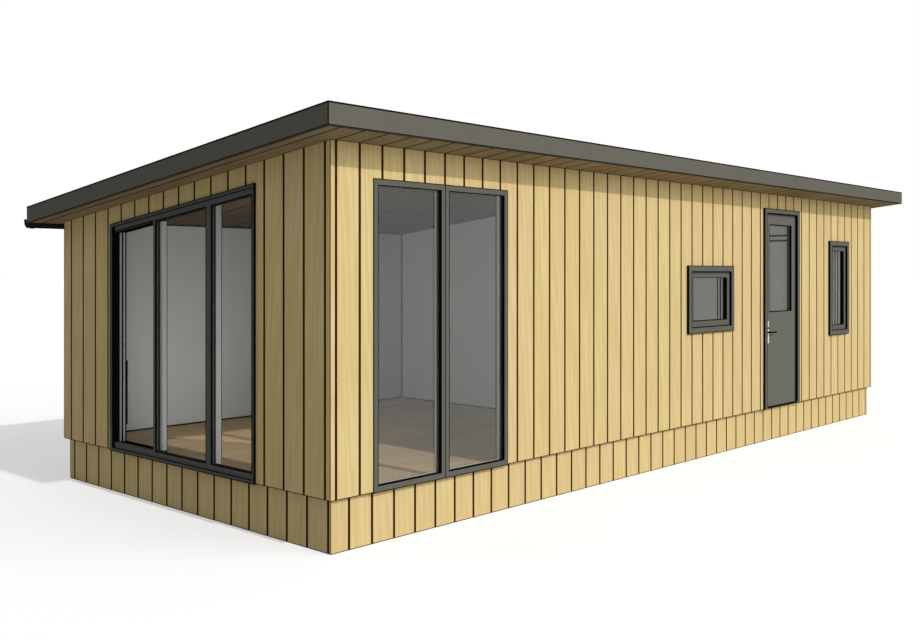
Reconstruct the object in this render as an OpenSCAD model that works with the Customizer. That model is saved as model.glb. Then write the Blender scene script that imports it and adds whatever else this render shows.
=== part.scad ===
// Single-storey mono-pitch timber chalet, in millimetres.
// X runs along the front wall, Y from front to back, Z up from the ground.
// The origin is at ground level under the middle of the overall box.

/* [House] */
// Length over the wall panels
house_l = 10650; // [9000:10:13000]
// Depth over the wall panels
house_w = 4050; // [3900:10:4600]
// Height of wall over the tallest opening of the front wall
wall_over = 190; // [120:1:400]
// Wall thickness, outer face to inner face
wall_t = 115; // [115:5:220]
// Seat clearance between the wall heads and the ceiling boards
wall_seat = 0.3; // [0.1:0.05:0.8]
// Thickness of the inner partition
partition_t = 100; // [70:5:140]
// Left corner to the near face of the partition
partition_at = 4785; // [4200:5:5000]
// Width of the passage between the partition and the front wall
passage_w = 1130; // [800:10:1400]

/* [Plinth and floor] */
// Height of the plinth, from the ground to the foot of the walls
plinth_h = 405; // [360:5:520]
// Set-back of the plinth boards behind the wall face
plinth_inset = 44; // [24:2:50]
// Thickness of the plinth boards
plinth_t = 40; // [30:2:50]
// Thickness of the floor deck
deck_t = 30; // [22:1:50]
// Depth of the floor joists
joist_h = 170; // [120:5:200]
// Width of the floor joists
joist_w = 70; // [45:5:90]
// Largest spacing of the joists
joist_pitch = 620; // [400:10:900]
// Width of the ground bearers
bearer_w = 140; // [80:5:200]

/* [Roof] */
// Fall of the roof towards the back, in degrees
roof_slope = 6.5; // [3:0.5:7]
// Overhang of the roof in front of the front wall
overhang_front = 325; // [200:5:450]
// Overhang of the roof past each end wall
overhang_end = 313; // [200:1:450]
// Overhang of the roof behind the back wall, to the fascia face
overhang_back = 131; // [80:1:200]
// Height of the fascia boards
fascia_h = 165; // [140:5:240]
// Thickness of the fascia boards
fascia_t = 20; // [15:1:40]
// How far the end fascias run on past the back fascia
fascia_tail = 54; // [20:2:80]
// Thickness of the ceiling and soffit boards
ceiling_t = 18; // [12:1:28]
// Thickness of the roof covering
covering_t = 10; // [4:1:20]

/* [Gutter] */
// Outside width of the gutter
gutter_w = 150; // [100:2:170]
// Height of the straight sides above the half-round
gutter_side = 15; // [5:1:30]
// Sheet thickness of the gutter
gutter_t = 4; // [3:0.5:6]
// Radius of the bead on the outer lip
bead_r = 6; // [4:0.5:8]
// Height of the gutter's rim above the foot of the back fascia
gutter_rise = 37; // [10:1:60]
// Strap thickness of the gutter brackets
bracket_t = 5; // [4:0.5:8]
// Strap width of the gutter brackets
bracket_w = 30; // [20:1:50]
// Seat clearance between the straps and the gutter
bracket_gap = 0.3; // [0.2:0.05:0.5]
// Largest spacing of the gutter brackets
bracket_pitch = 950; // [600:10:1200]

/* [Downpipe] */
// Outside diameter of the downpipe
pipe_d = 68; // [60:1:80]
// Sheet thickness of the downpipe
pipe_t = 3; // [2:0.5:4]
// How far the round bends stand proud of the downpipe
bend_proud = 4; // [2:0.5:6]
// Right corner of the walls to the downpipe
pipe_from_end = 260; // [150:5:600]
// Gap between the back wall and the downpipe
pipe_gap = 30; // [20:1:50]
// Length of the outlet between the gutter and the swan neck
outlet_drop = 60; // [40:5:100]
// Height of the downpipe's lower bend above the ground
pipe_foot = 180; // [150:5:300]
// Reach of the shoe beyond the lower bend
shoe_reach = 90; // [60:5:110]
// Height of the downpipe's clips
clip_h = 24; // [16:1:40]
// Strap thickness of the clips
clip_t = 4; // [3:0.5:6]
// Distance of the end clips from the downpipe's bends
clip_inset = 200; // [100:10:400]

/* [Windows] */
// Left corner to the long window
long_at = 431; // [300:1:700]
// Width of the long window
long_w = 1634; // [1400:2:1800]
// Height of the long window above the floor
long_h = 2395; // [2100:5:2800]
// Face width of the long window's frames
long_bar = 47; // [40:1:70]
// How far the long window's frames stand proud of the wall face
long_proud = 10; // [5:1:40]
// Gap between the small window and the front door's frame
small_from_door = 823; // [600:1:1200]
// Width of the small window
small_w = 1052; // [800:2:1200]
// Height of the small window
small_h = 744; // [500:2:1000]
// Sill of the small window above the floor
small_sill = 1010; // [800:10:1200]
// Right corner to the slim window
slim_from_end = 916; // [500:1:1300]
// Width of the slim window
slim_w = 656; // [500:2:800]
// Height of the slim window
slim_h = 1282; // [900:2:1500]
// Sill of the slim window above the floor
slim_sill = 829; // [600:1:1000]
// Face width of the window casings
casing_bar = 64; // [40:1:80]
// How far the window casings stand proud of the wall face
casing_proud = 31; // [10:1:40]
// How far the window sashes stand proud of the wall face
sash_proud = 8; // [0:1:20]
// Face width of the window sashes
sash_bar = 67; // [45:1:80]
// Depth of the window frames behind the wall face
window_back = 66; // [62:1:90]
// Depth of the cased panes behind the sash face
sash_glass_at = 44; // [10:1:46]
// Depth of the long panes behind the frame face
long_glass_at = 29; // [20:1:60]
// Thickness of the window panes
pane_t = 16; // [6:1:20]
// Thickness of the inner linings
lining_t = 15; // [10:1:25]

/* [Front door] */
// Right corner to the door frame
door_from_end = 2560; // [2200:5:2800]
// Width over the door frame
door_w = 1000; // [900:5:1100]
// Height of the door frame above the floor
door_h = 2469; // [2300:1:2800]
// Face width of the frame's jambs
jamb_face = 64; // [56:1:80]
// Face height of the frame's head
head_face = 56; // [56:1:90]
// How far the frame stands proud of the wall face
door_proud = 30; // [15:1:40]
// Set-back of the leaf's face behind the wall face
leaf_set = 1; // [0:1:8]
// Overlap of the frame's stop on the leaf
door_stop = 10; // [6:1:14]
// Running gap around the leaf
door_gap = 8; // [7:0.5:10]
// Thickness of the leaf
leaf_t = 54; // [40:1:68]
// Width of the leaf's stiles
leaf_stile = 129; // [112:1:140]
// Height of the leaf's top rail
leaf_top_rail = 148; // [90:1:180]
// Height of the door pane above the floor
door_pane_sill = 1197; // [1150:1:1300]
// Depth of the door pane behind the leaf's face
door_pane_at = 26; // [10:1:30]
// Thickness of the door pane
door_pane_t = 20; // [16:1:24]
// Height of the threshold
threshold_h = 18; // [12:1:20]

/* [Door furniture] */
// Height of the lever above the floor
lever_z = 944; // [900:2:1050]
// Length of the lever from its spindle
lever_l = 130; // [100:2:150]
// Diameter of the lever
lever_d = 20; // [14:1:22]
// Stand-off of the lever from its plate
lever_off = 46; // [40:1:60]
// Diameter of the spindle
spindle_d = 9; // [7:0.5:10]
// Running gap around the spindle
spindle_gap = 0.3; // [0.2:0.05:0.5]
// Width of the handle plates
plate_w = 46; // [36:1:54]
// Height of the handle plates
plate_h = 270; // [200:5:300]
// Thickness of the handle plates
plate_t = 8; // [5:0.5:10]
// Diameter of the hinge knuckles
knuckle_d = 18; // [16:1:20]
// Length of each half knuckle
knuckle_l = 48; // [36:1:60]
// Diameter of the hinge pins
hinge_pin_d = 9; // [7:0.5:10]
// Running gap in the hinges
hinge_gap = 0.3; // [0.2:0.05:0.5]
// Distance of the end hinges from the leaf's ends
hinge_inset = 220; // [120:5:300]
// Width of the hinge flaps
flap_w = 28; // [22:1:32]
// Thickness of the hinge flaps
flap_t = 4; // [3:0.5:5]

/* [Sliding end door] */
// Front corner to the end door
end_at = 889; // [800:1:1000]
// Width over the end door's frame
end_w = 2220; // [2150:2:2300]
// Wall left above the raked head, measured upright
end_head_gap = 172; // [120:2:250]
// Face width of the end door's frame
end_face = 22; // [16:1:30]
// How far the end door's frame stands proud of the wall face
end_proud = 17; // [5:1:25]
// Width of the front fixed panel
end_front_w = 628; // [560:2:680]
// Width of the middle fixed panel
end_mid_w = 853; // [800:1:900]
// Joint between the fixed panels
end_joint = 3; // [2:0.5:6]
// Stile width of the fixed panels
end_stile = 38; // [30:1:60]
// Rail height of the fixed panels and of the sliding leaf
end_rail = 54; // [45:1:80]
// Depth of the fixed panels' face behind the wall face
end_fixed_at = 1; // [0:1:12]
// Thickness of the fixed panels and of the sliding leaf
end_panel_t = 44; // [36:1:48]
// Seat clearance of the fixed panels under the raked head
end_seat = 0.3; // [0.1:0.05:0.8]
// Width of the inner post behind the joint of the fixed panels
post_w = 70; // [60:1:90]
// Depth of the inner post behind the fixed panels
post_t = 68; // [30:1:90]
// Width of the closing jamb in front of the sliding leaf's stile
closing_w = 30; // [20:1:45]
// Clear gap between the fixed panels and the sliding leaf
end_track_gap = 8; // [6:1:12]
// Thickness of the end door's panes
end_pane_t = 20; // [8:1:24]
// Stile width of the sliding leaf
slide_stile = 60; // [45:1:80]
// Height of the sliding leaf's foot rail, over its rollers
slide_rail = 41; // [41:1:80]
// How far the sliding leaf laps behind the middle panel
slide_lap = 80; // [64:1:120]
// Running gap between the leaf and the frame
slide_gap = 6; // [5:0.5:10]
// Width of the track rib
track_w = 8; // [6:1:12]
// Height of the track rib
track_h = 12; // [8:1:16]
// Diameter of the rollers
roller_d = 32; // [26:1:36]
// Running clearance of the rollers over the track
roller_gap = 0.3; // [0.2:0.05:0.5]
// Length of the pull bar
pull_l = 604; // [400:2:800]
// Height of the pull bar's foot above the floor
pull_foot = 238; // [150:2:500]
// Width of the pull bar
pull_w = 24; // [16:1:30]
// Thickness of the pull bar
pull_t = 14; // [10:1:20]
// Stand-off of the pull bar from the leaf
pull_off = 18; // [18:1:36]
// Distance of the pull bar from the leaf's closing edge
pull_from_edge = 22; // [16:1:40]

/* [Hidden] */
$fn = 48;

// Over-run of every cut past the faces it goes through
over = 2;
// Width of the gap between the two long window frames
long_joint = 2;

// Overall box, centred on the origin
gutter_reach = overhang_back + bracket_t + gutter_w;
total_l = house_l + 2 * overhang_end;
total_w = overhang_front + house_w + gutter_reach + bead_r;
x_left = -total_l / 2 + overhang_end;
x_right = x_left + house_l;
y_front = -total_w / 2 + overhang_front;
y_back = y_front + house_w;
z_floor = plinth_h;

// Places along the front wall, from the left corner, and the wall's height
door_at = house_l - door_from_end - door_w;
small_at = door_at - small_from_door - small_w;
slim_at = house_l - slim_from_end - slim_w;
wall_front_h = max(door_h, long_h, small_sill + small_h, slim_sill + slim_h) + wall_over;

// Roof planes
fall = tan(roof_slope);
roof_x0 = x_left - overhang_end;
roof_x1 = x_right + overhang_end;
roof_y0 = y_front - overhang_front;
roof_y1 = y_back + overhang_back;
function soffit_z(y) = plinth_h + wall_front_h - fall * (y - y_front);

// Front door places, from the left corner and the wall face
door_x0 = x_left + door_at;
door_x1 = door_x0 + door_w;
jamb_t = jamb_face - door_stop - door_gap;
head_t = head_face - door_stop - door_gap;
leaf_x0 = door_x0 + jamb_t + door_gap;
leaf_x1 = door_x1 - jamb_t - door_gap;
leaf_y0 = y_front + leaf_set;
leaf_y1 = leaf_y0 + leaf_t;
stop_y = leaf_y0 - door_gap;
leaf_z0 = z_floor + threshold_h + door_gap;
leaf_z1 = z_floor + door_h - head_t - door_gap;
hinge_x = leaf_x1 + door_gap / 2;
hinge_y = leaf_y1 + knuckle_d / 2;
hinge_heights = [leaf_z0 + hinge_inset, (leaf_z0 + leaf_z1) / 2, leaf_z1 - hinge_inset];
lever_x = leaf_x0 + leaf_stile / 2 + door_stop;
lever_height = z_floor + lever_z;

// Sliding door places, from the front corner and the wall face
end_y0 = y_front + end_at;
end_y1 = end_y0 + end_w;
end_in_y0 = end_y0 + end_face;
end_in_y1 = end_y1 - end_face;
end_sill_z = z_floor + end_face;
fixed_x = x_left + end_fixed_at;
slide_x = fixed_x + end_panel_t + end_track_gap;
front_panel_y1 = end_in_y0 + end_front_w;
mid_panel_y0 = front_panel_y1 + end_joint;
mid_panel_y1 = mid_panel_y0 + end_mid_w;
fixed_drop = end_face + end_seat;
post_y0 = (front_panel_y1 + mid_panel_y0 - post_w) / 2;
post_y1 = post_y0 + post_w;
slide_y0 = mid_panel_y1 - slide_lap;
slide_y1 = end_in_y1 - slide_gap;
slide_z0 = end_sill_z + track_h + slide_gap;
slide_drop = end_face + slide_gap;
track_x = slide_x + end_panel_t / 2;
roller_z = end_sill_z + track_h + roller_gap + roller_d / 2;
roller_pocket = track_w + 2 * slide_gap;
function end_head_z(y) = soffit_z(y) - end_head_gap;

// Gutter places
gutter_y = roof_y1 + bracket_t + gutter_w / 2;
gutter_rim_z = soffit_z(roof_y1) + gutter_rise;
gutter_r = gutter_w / 2;
gutter_axis_z = gutter_rim_z - gutter_side;
bracket_count = ceil((total_l - 2 * fascia_t - 2 * bracket_w) / bracket_pitch);

// Downpipe places: from inside the gutter through the swan neck and down to the shoe
pipe_x = x_right - pipe_from_end;
pipe_y = y_back + pipe_gap + pipe_d / 2;
pipe_bore = pipe_d - 2 * pipe_t;
outlet_z = gutter_axis_z - gutter_r;
neck_z = outlet_z - outlet_drop;
neck_foot = neck_z - (gutter_y - pipe_y);
pipe_path = [
    [pipe_x, gutter_y, gutter_axis_z],
    [pipe_x, gutter_y, neck_z],
    [pipe_x, pipe_y, neck_foot],
    [pipe_x, pipe_y, pipe_foot],
    [pipe_x, pipe_y + shoe_reach, pipe_foot - shoe_reach]
];
bore_path = [
    for (i = [0 : 4]) i < 4 ? pipe_path[i] : pipe_path[i] + [0, over, -over]
];
clip_heights = [pipe_foot + clip_inset, (pipe_foot + neck_foot) / 2, neck_foot - clip_inset];

// Colours
larch = [0.86, 0.77, 0.54];
soffit_wood = [0.55, 0.45, 0.30];
floor_wood = [0.66, 0.55, 0.40];
frame_grey = [0.36, 0.36, 0.33];
fascia_grey = [0.30, 0.30, 0.28];
inner_grey = [0.78, 0.78, 0.76];
glass_blue = [0.70, 0.78, 0.80, 0.4];
steel = [0.75, 0.75, 0.75];
black = [0.10, 0.10, 0.10];

// Carries an outline drawn in Y and Z along X
module along_x(x, l) {
    translate([x, 0, 0]) rotate([90, 0, 90]) linear_extrude(l) children();
}

// Slab between two corners
module slab(lo, hi) {
    translate(lo) cube(hi - lo);
}

// Band parallel to the roof, lifted above the soffit plane
module roof_band(y0, y1, lift, t) {
    polygon([
        [y0, soffit_z(y0) + lift],
        [y1, soffit_z(y1) + lift],
        [y1, soffit_z(y1) + lift + t],
        [y0, soffit_z(y0) + lift + t]
    ]);
}

// Height of a wall's head, a seat clearance under the ceiling boards
function wall_head_z(y) = soffit_z(y) - wall_seat;

// Wall outline from the floor to its raked head
module wall_outline(y0, y1) {
    polygon([[y0, z_floor], [y1, z_floor], [y1, wall_head_z(y1)], [y0, wall_head_z(y0)]]);
}

// Outline under the raked door head, set in from the four sides
module raked_outline(y0, y1, foot, drop) {
    polygon([[y0, foot], [y1, foot], [y1, end_head_z(y1) - drop], [y0, end_head_z(y0) - drop]]);
}

// Rectangular frame in the front wall
module front_frame(x, z, w, h, bar, y, depth) {
    difference() {
        slab([x, y, z], [x + w, y + depth, z + h]);
        slab([x + bar, y - over, z + bar], [x + w - bar, y + depth + over, z + h - bar]);
    }
}

// Opening cut through the front wall
module front_cut(at, sill, w, h) {
    x = x_left + at;
    slab([x, y_front - over, z_floor + sill], [x + w, y_front + wall_t + over, z_floor + sill + h]);
}

// Lengthwise stretch of the front wall
module front_wall_stretch(from, to) {
    along_x(x_left + from, to - from) wall_outline(y_front, y_front + wall_t);
}

// Raked panel with its glazed opening
module raked_panel(x, y0, y1, foot, drop, stile, foot_rail) {
    along_x(x, end_panel_t) difference() {
        raked_outline(y0, y1, foot, drop);
        raked_outline(y0 + stile, y1 - stile, foot + foot_rail, drop + end_rail);
    }
}

// Raked pane that fills a panel's opening
module raked_pane(x, y0, y1, foot, drop, stile, foot_rail) {
    along_x(x + (end_panel_t - end_pane_t) / 2, end_pane_t)
        raked_outline(y0 + stile, y1 - stile, foot + foot_rail, drop + end_rail);
}

// Plinth, floor and what carries it
plinth_x0 = x_left + plinth_inset;
plinth_x1 = x_right - plinth_inset;
plinth_y0 = y_front + plinth_inset;
plinth_y1 = y_back - plinth_inset;
deck_x0 = plinth_x0 + plinth_t;
deck_x1 = plinth_x1 - plinth_t;
deck_y0 = plinth_y0 + plinth_t;
deck_y1 = plinth_y1 - plinth_t;
joist_z1 = plinth_h - deck_t;
joist_z0 = joist_z1 - joist_h;

module plinth_front() {
    color(larch) slab([plinth_x0, plinth_y0, 0], [plinth_x1, deck_y0, plinth_h]);
}

module plinth_back() {
    color(larch) slab([plinth_x0, deck_y1, 0], [plinth_x1, plinth_y1, plinth_h]);
}

module plinth_left() {
    color(larch) slab([plinth_x0, deck_y0, 0], [deck_x0, deck_y1, plinth_h]);
}

module plinth_right() {
    color(larch) slab([deck_x1, deck_y0, 0], [plinth_x1, deck_y1, plinth_h]);
}

module bearers() {
    span = deck_y1 - deck_y0 - bearer_w;
    color(larch) for (i = [0 : 2])
        translate([deck_x0, deck_y0 + span * i / 2, 0]) cube([deck_x1 - deck_x0, bearer_w, joist_z0]);
}

module floor_joists() {
    span = deck_x1 - deck_x0 - joist_w;
    count = ceil(span / joist_pitch);
    color(larch) for (i = [0 : count])
        translate([deck_x0 + span * i / count, deck_y0, joist_z0])
            cube([joist_w, deck_y1 - deck_y0, joist_h]);
}

module floor_deck() {
    color(floor_wood) slab([deck_x0, deck_y0, joist_z1], [deck_x1, deck_y1, z_floor]);
}

// Walls
module front_wall() {
    color(larch) difference() {
        front_wall_stretch(0, door_at);
        front_cut(long_at, -over, long_w, long_h + over);
        front_cut(small_at, small_sill, small_w, small_h);
    }
}

module front_wall_over_door() {
    color(larch) difference() {
        front_wall_stretch(door_at, door_at + door_w);
        front_cut(door_at - over, -over, door_w + 2 * over, door_h + over);
    }
}

module front_wall_far() {
    color(larch) difference() {
        front_wall_stretch(door_at + door_w, house_l);
        front_cut(slim_at, slim_sill, slim_w, slim_h);
    }
}

module back_wall() {
    color(larch) along_x(x_left, house_l) wall_outline(y_back - wall_t, y_back);
}

module left_wall_front() {
    color(larch) along_x(x_left, wall_t) wall_outline(y_front + wall_t, end_y0);
}

module left_wall_back() {
    color(larch) along_x(x_left, wall_t) wall_outline(end_y1, y_back - wall_t);
}

module left_wall_over_door() {
    color(larch) along_x(x_left, wall_t) roof_band(end_y0, end_y1, -end_head_gap, end_head_gap - wall_seat);
}

module right_wall() {
    color(larch) along_x(x_right - wall_t, wall_t) wall_outline(y_front + wall_t, y_back - wall_t);
}

module partition() {
    color(inner_grey) along_x(x_left + partition_at, partition_t)
        wall_outline(y_front + wall_t + passage_w, y_back - wall_t);
}

// Roof
module ceiling_boards() {
    color(soffit_wood) along_x(roof_x0 + fascia_t, total_l - 2 * fascia_t)
        roof_band(roof_y0 + fascia_t, roof_y1 - fascia_t, 0, ceiling_t);
}

module roof_panel() {
    color(inner_grey) along_x(roof_x0 + fascia_t, total_l - 2 * fascia_t)
        roof_band(roof_y0 + fascia_t, roof_y1 - fascia_t, ceiling_t, fascia_h - ceiling_t - covering_t);
}

module roof_covering() {
    color(fascia_grey) along_x(roof_x0 + fascia_t, total_l - 2 * fascia_t)
        roof_band(roof_y0 + fascia_t, roof_y1 - fascia_t, fascia_h - covering_t, covering_t);
}

module fascia_front() {
    color(fascia_grey) along_x(roof_x0, total_l) roof_band(roof_y0, roof_y0 + fascia_t, 0, fascia_h);
}

module fascia_back() {
    color(fascia_grey) along_x(roof_x0 + fascia_t, total_l - 2 * fascia_t)
        roof_band(roof_y1 - fascia_t, roof_y1, 0, fascia_h);
}

module end_fascia(x) {
    color(fascia_grey) along_x(x, fascia_t) roof_band(roof_y0 + fascia_t, roof_y1 + fascia_tail, 0, fascia_h);
}

module fascia_left() {
    end_fascia(roof_x0);
}

module fascia_right() {
    end_fascia(roof_x1 - fascia_t);
}

// Half-round outline with straight sides, hung from the rim
module trough(r, side) {
    translate([gutter_y, gutter_axis_z]) {
        intersection() {
            circle(r);
            translate([-r, -r]) square([2 * r, r]);
        }
        translate([-r, 0]) square([2 * r, side]);
    }
}

module gutter() {
    x0 = roof_x0 + fascia_t;
    l = total_l - 2 * fascia_t;
    color(fascia_grey) union() {
        along_x(x0, l) difference() {
            trough(gutter_r, gutter_side);
            trough(gutter_r - gutter_t, gutter_side + over);
        }
        for (x = [x0, x0 + l - gutter_t]) along_x(x, gutter_t) trough(gutter_r, gutter_side);
        along_x(x0, l) translate([gutter_y + gutter_r, gutter_rim_z - bead_r]) circle(bead_r);
    }
}

// Strap from the fascia, under the gutter and up to its bead
module gutter_bracket() {
    bead_foot = gutter_rim_z - 2 * bead_r - bracket_gap;
    along_x(0, bracket_w) difference() {
        trough(gutter_r + bracket_t, gutter_side);
        trough(gutter_r + bracket_gap, gutter_side + over);
        translate([gutter_y, bead_foot]) square([gutter_w, gutter_side + over]);
    }
}

module gutter_brackets() {
    first = roof_x0 + fascia_t + gutter_t + bracket_w;
    last = roof_x1 - fascia_t - gutter_t - 2 * bracket_w;
    color(fascia_grey) for (i = [0 : bracket_count])
        translate([first + (last - first) * i / bracket_count, 0, 0]) gutter_bracket();
}

// Round rod between two points
module rod(from, to, d) {
    run = to - from;
    translate(from) rotate([0, acos(run.z / norm(run)), atan2(run.y, run.x)]) cylinder(d = d, h = norm(run));
}

// Rods through a row of points, with round bends that stand a little proud
module pipe_run(points, d) {
    for (i = [1 : len(points) - 1]) rod(points[i - 1], points[i], d);
    for (i = [1 : len(points) - 2]) translate(points[i]) sphere(d = d + 2 * bend_proud);
}

module downpipe() {
    color(fascia_grey) difference() {
        pipe_run(pipe_path, pipe_d);
        pipe_run(bore_path, pipe_bore);
        along_x(pipe_x - pipe_d, 2 * pipe_d) trough(gutter_r + bracket_gap, gutter_side + over);
    }
}

module downpipe_clips() {
    color(fascia_grey) for (z = clip_heights) translate([pipe_x, pipe_y, z]) difference() {
        union() {
            cylinder(d = pipe_d + 2 * clip_t, h = clip_h);
            slab([-clip_h / 2, y_back - pipe_y, 0], [clip_h / 2, -pipe_d / 2, clip_h]);
        }
        translate([0, 0, -over]) cylinder(d = pipe_d + 2 * bracket_gap, h = clip_h + 2 * over);
    }
}

// Windows
module long_window_frames() {
    w = (long_w - long_joint) / 2;
    color(frame_grey) for (i = [0, 1])
        front_frame(x_left + long_at + i * (w + long_joint), z_floor, w, long_h, long_bar,
            y_front - long_proud, long_proud + window_back);
}

module casing(at, sill, w, h) {
    front_frame(x_left + at, z_floor + sill, w, h, casing_bar,
        y_front - casing_proud, casing_proud + window_back);
}

module sash(at, sill, w, h) {
    front_frame(x_left + at + casing_bar, z_floor + sill + casing_bar, w - 2 * casing_bar, h - 2 * casing_bar,
        sash_bar, y_front - sash_proud, window_back + sash_proud);
}

module sash_pane(at, sill, w, h) {
    inset = casing_bar + sash_bar;
    x = x_left + at + inset;
    y = y_front - sash_proud + sash_glass_at;
    z = z_floor + sill + inset;
    slab([x, y, z], [x + w - 2 * inset, y + pane_t, z + h - 2 * inset]);
}

module window_casings() {
    color(frame_grey) {
        casing(small_at, small_sill, small_w, small_h);
        casing(slim_at, slim_sill, slim_w, slim_h);
    }
}

module window_sashes() {
    color(frame_grey) {
        sash(small_at, small_sill, small_w, small_h);
        sash(slim_at, slim_sill, slim_w, slim_h);
    }
}

module window_panes() {
    w = (long_w - long_joint) / 2;
    y = y_front - long_proud + long_glass_at;
    z = z_floor + long_bar;
    color(glass_blue) {
        for (i = [0, 1]) {
            x = x_left + long_at + i * (w + long_joint) + long_bar;
            slab([x, y, z], [x + w - 2 * long_bar, y + pane_t, z + long_h - 2 * long_bar]);
        }
        sash_pane(small_at, small_sill, small_w, small_h);
        sash_pane(slim_at, slim_sill, slim_w, slim_h);
    }
}

// Boards that line a reveal up to the inner wall face: two upright, and level ones at the heights given
module reveal_lining(x0, w, y0, z0, z1, heights) {
    y1 = y_front + wall_t;
    for (x = [x0, x0 + w - lining_t]) slab([x, y0, z0], [x + lining_t, y1, z1]);
    for (z = heights)
        slab([x0 + lining_t + hinge_gap, y0, z], [x0 + w - lining_t - hinge_gap, y1, z + lining_t]);
}

module window_lining(at, sill, w, h) {
    z0 = z_floor + sill;
    z1 = z0 + h;
    reveal_lining(x_left + at, w, y_front + window_back, z0, z1, [z0, z1 - lining_t]);
}

module opening_linings() {
    color(inner_grey) {
        window_lining(long_at, 0, long_w, long_h);
        window_lining(small_at, small_sill, small_w, small_h);
        window_lining(slim_at, slim_sill, slim_w, slim_h);
        reveal_lining(door_x0, door_w, leaf_y1, z_floor, z_floor + door_h, [z_floor + door_h - lining_t]);
    }
}

// Front door
module front_door_frame() {
    y0 = y_front - door_proud;
    z1 = z_floor + door_h;
    color(frame_grey) difference() {
        slab([door_x0, y0, z_floor], [door_x1, leaf_y1, z1]);
        slab([door_x0 + jamb_face, y0 - over, z_floor - over],
            [door_x1 - jamb_face, leaf_y1 + over, z1 - head_face]);
        slab([door_x0 + jamb_t, stop_y, z_floor - over], [door_x1 - jamb_t, leaf_y1 + over, z1 - head_t]);
    }
}

module front_door_threshold() {
    color(steel) slab([door_x0 + jamb_t, stop_y, z_floor],
        [door_x1 - jamb_t, leaf_y1, z_floor + threshold_h]);
}

// Half a hinge: knuckle on the pin's line and a flap on the wood
module hinge_half(z, flap_from) {
    translate([hinge_x, hinge_y, z]) cylinder(d = knuckle_d, h = knuckle_l);
    slab([flap_from, leaf_y1, z], [flap_from + flap_w, leaf_y1 + flap_t, z + knuckle_l]);
}

module front_door_frame_hinges() {
    color(steel) for (z = hinge_heights) {
        hinge_half(z, hinge_x);
        translate([hinge_x, hinge_y, z]) cylinder(d = hinge_pin_d, h = 2 * knuckle_l + hinge_gap);
    }
}

module front_door_leaf_hinges() {
    color(steel) for (z = hinge_heights) difference() {
        hinge_half(z + knuckle_l + hinge_gap, hinge_x - flap_w);
        translate([hinge_x, hinge_y, z + knuckle_l])
            cylinder(d = hinge_pin_d + 2 * hinge_gap, h = knuckle_l + hinge_gap + over);
    }
}

// Clear outline of the door pane
module door_pane_box(y0, y1) {
    slab([leaf_x0 + leaf_stile, y0, z_floor + door_pane_sill],
        [leaf_x1 - leaf_stile, y1, leaf_z1 - leaf_top_rail]);
}

// Spindle hole through the leaf and its plates
module spindle_hole() {
    translate([lever_x, leaf_y0 - plate_t - over, lever_height]) rotate([-90, 0, 0])
        cylinder(d = spindle_d + 2 * spindle_gap, h = leaf_t + 2 * plate_t + 2 * over);
}

module front_door_leaf() {
    color(frame_grey) difference() {
        slab([leaf_x0, leaf_y0, leaf_z0], [leaf_x1, leaf_y1, leaf_z1]);
        door_pane_box(leaf_y0 - over, leaf_y1 + over);
        spindle_hole();
    }
}

module front_door_pane() {
    y0 = leaf_y0 + door_pane_at;
    color(glass_blue) door_pane_box(y0, y0 + door_pane_t);
}

module front_door_plates() {
    color(steel) difference() {
        for (y = [leaf_y0 - plate_t, leaf_y1])
            slab([lever_x - plate_w / 2, y, lever_height - plate_h / 2],
                [lever_x + plate_w / 2, y + plate_t, lever_height + plate_h / 2]);
        spindle_hole();
    }
}

// One lever arm on its neck, drawn outwards from the plate
module lever_arm() {
    rotate([90, 0, 0]) cylinder(d = lever_d, h = lever_off);
    translate([0, -lever_off, 0]) sphere(d = lever_d);
    translate([0, -lever_off, 0]) rotate([0, 90, 0]) cylinder(d = lever_d, h = lever_l);
}

module front_door_lever() {
    reach = leaf_t / 2 + plate_t + hinge_gap;
    color(black) translate([lever_x, (leaf_y0 + leaf_y1) / 2, lever_height]) {
        rotate([90, 0, 0]) cylinder(d = spindle_d, h = 2 * reach, center = true);
        translate([0, -reach, 0]) lever_arm();
        mirror([0, 1, 0]) translate([0, -reach, 0]) lever_arm();
    }
}

// Sliding end door: raked frame, the post behind the joint of the fixed panels, closing jamb and weather bar
module end_door_frame() {
    rebate = end_face / 2;
    color(frame_grey) union() {
        along_x(x_left - end_proud, wall_t + end_proud) difference() {
            raked_outline(end_y0, end_y1, z_floor, 0);
            raked_outline(end_in_y0, end_in_y1, end_sill_z, end_face);
        }
        along_x(fixed_x + end_panel_t, post_t)
            raked_outline(post_y0, post_y1, end_sill_z - rebate, rebate);
        along_x(fixed_x, end_panel_t)
            raked_outline(end_in_y1 - closing_w, end_in_y1 + rebate, end_sill_z - rebate, rebate);
        slab([fixed_x, mid_panel_y1 + end_seat, end_sill_z - rebate],
            [fixed_x + end_panel_t, end_in_y1 + rebate, end_sill_z + end_rail]);
    }
}

module end_door_fixed_panels() {
    color(frame_grey) {
        raked_panel(fixed_x, end_in_y0, front_panel_y1, end_sill_z, fixed_drop, end_stile, end_rail);
        raked_panel(fixed_x, mid_panel_y0, mid_panel_y1, end_sill_z, fixed_drop, end_stile, end_rail);
    }
}

module end_door_fixed_panes() {
    color(glass_blue) {
        raked_pane(fixed_x, end_in_y0, front_panel_y1, end_sill_z, fixed_drop, end_stile, end_rail);
        raked_pane(fixed_x, mid_panel_y0, mid_panel_y1, end_sill_z, fixed_drop, end_stile, end_rail);
    }
}

module end_door_track() {
    color(steel) slab([track_x - track_w / 2, post_y1, end_sill_z],
        [track_x + track_w / 2, end_in_y1, end_sill_z + track_h]);
}

// Roller places along the leaf
roller_ys = [slide_y0 + slide_stile + roller_d, slide_y1 - slide_stile - roller_d];

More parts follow.
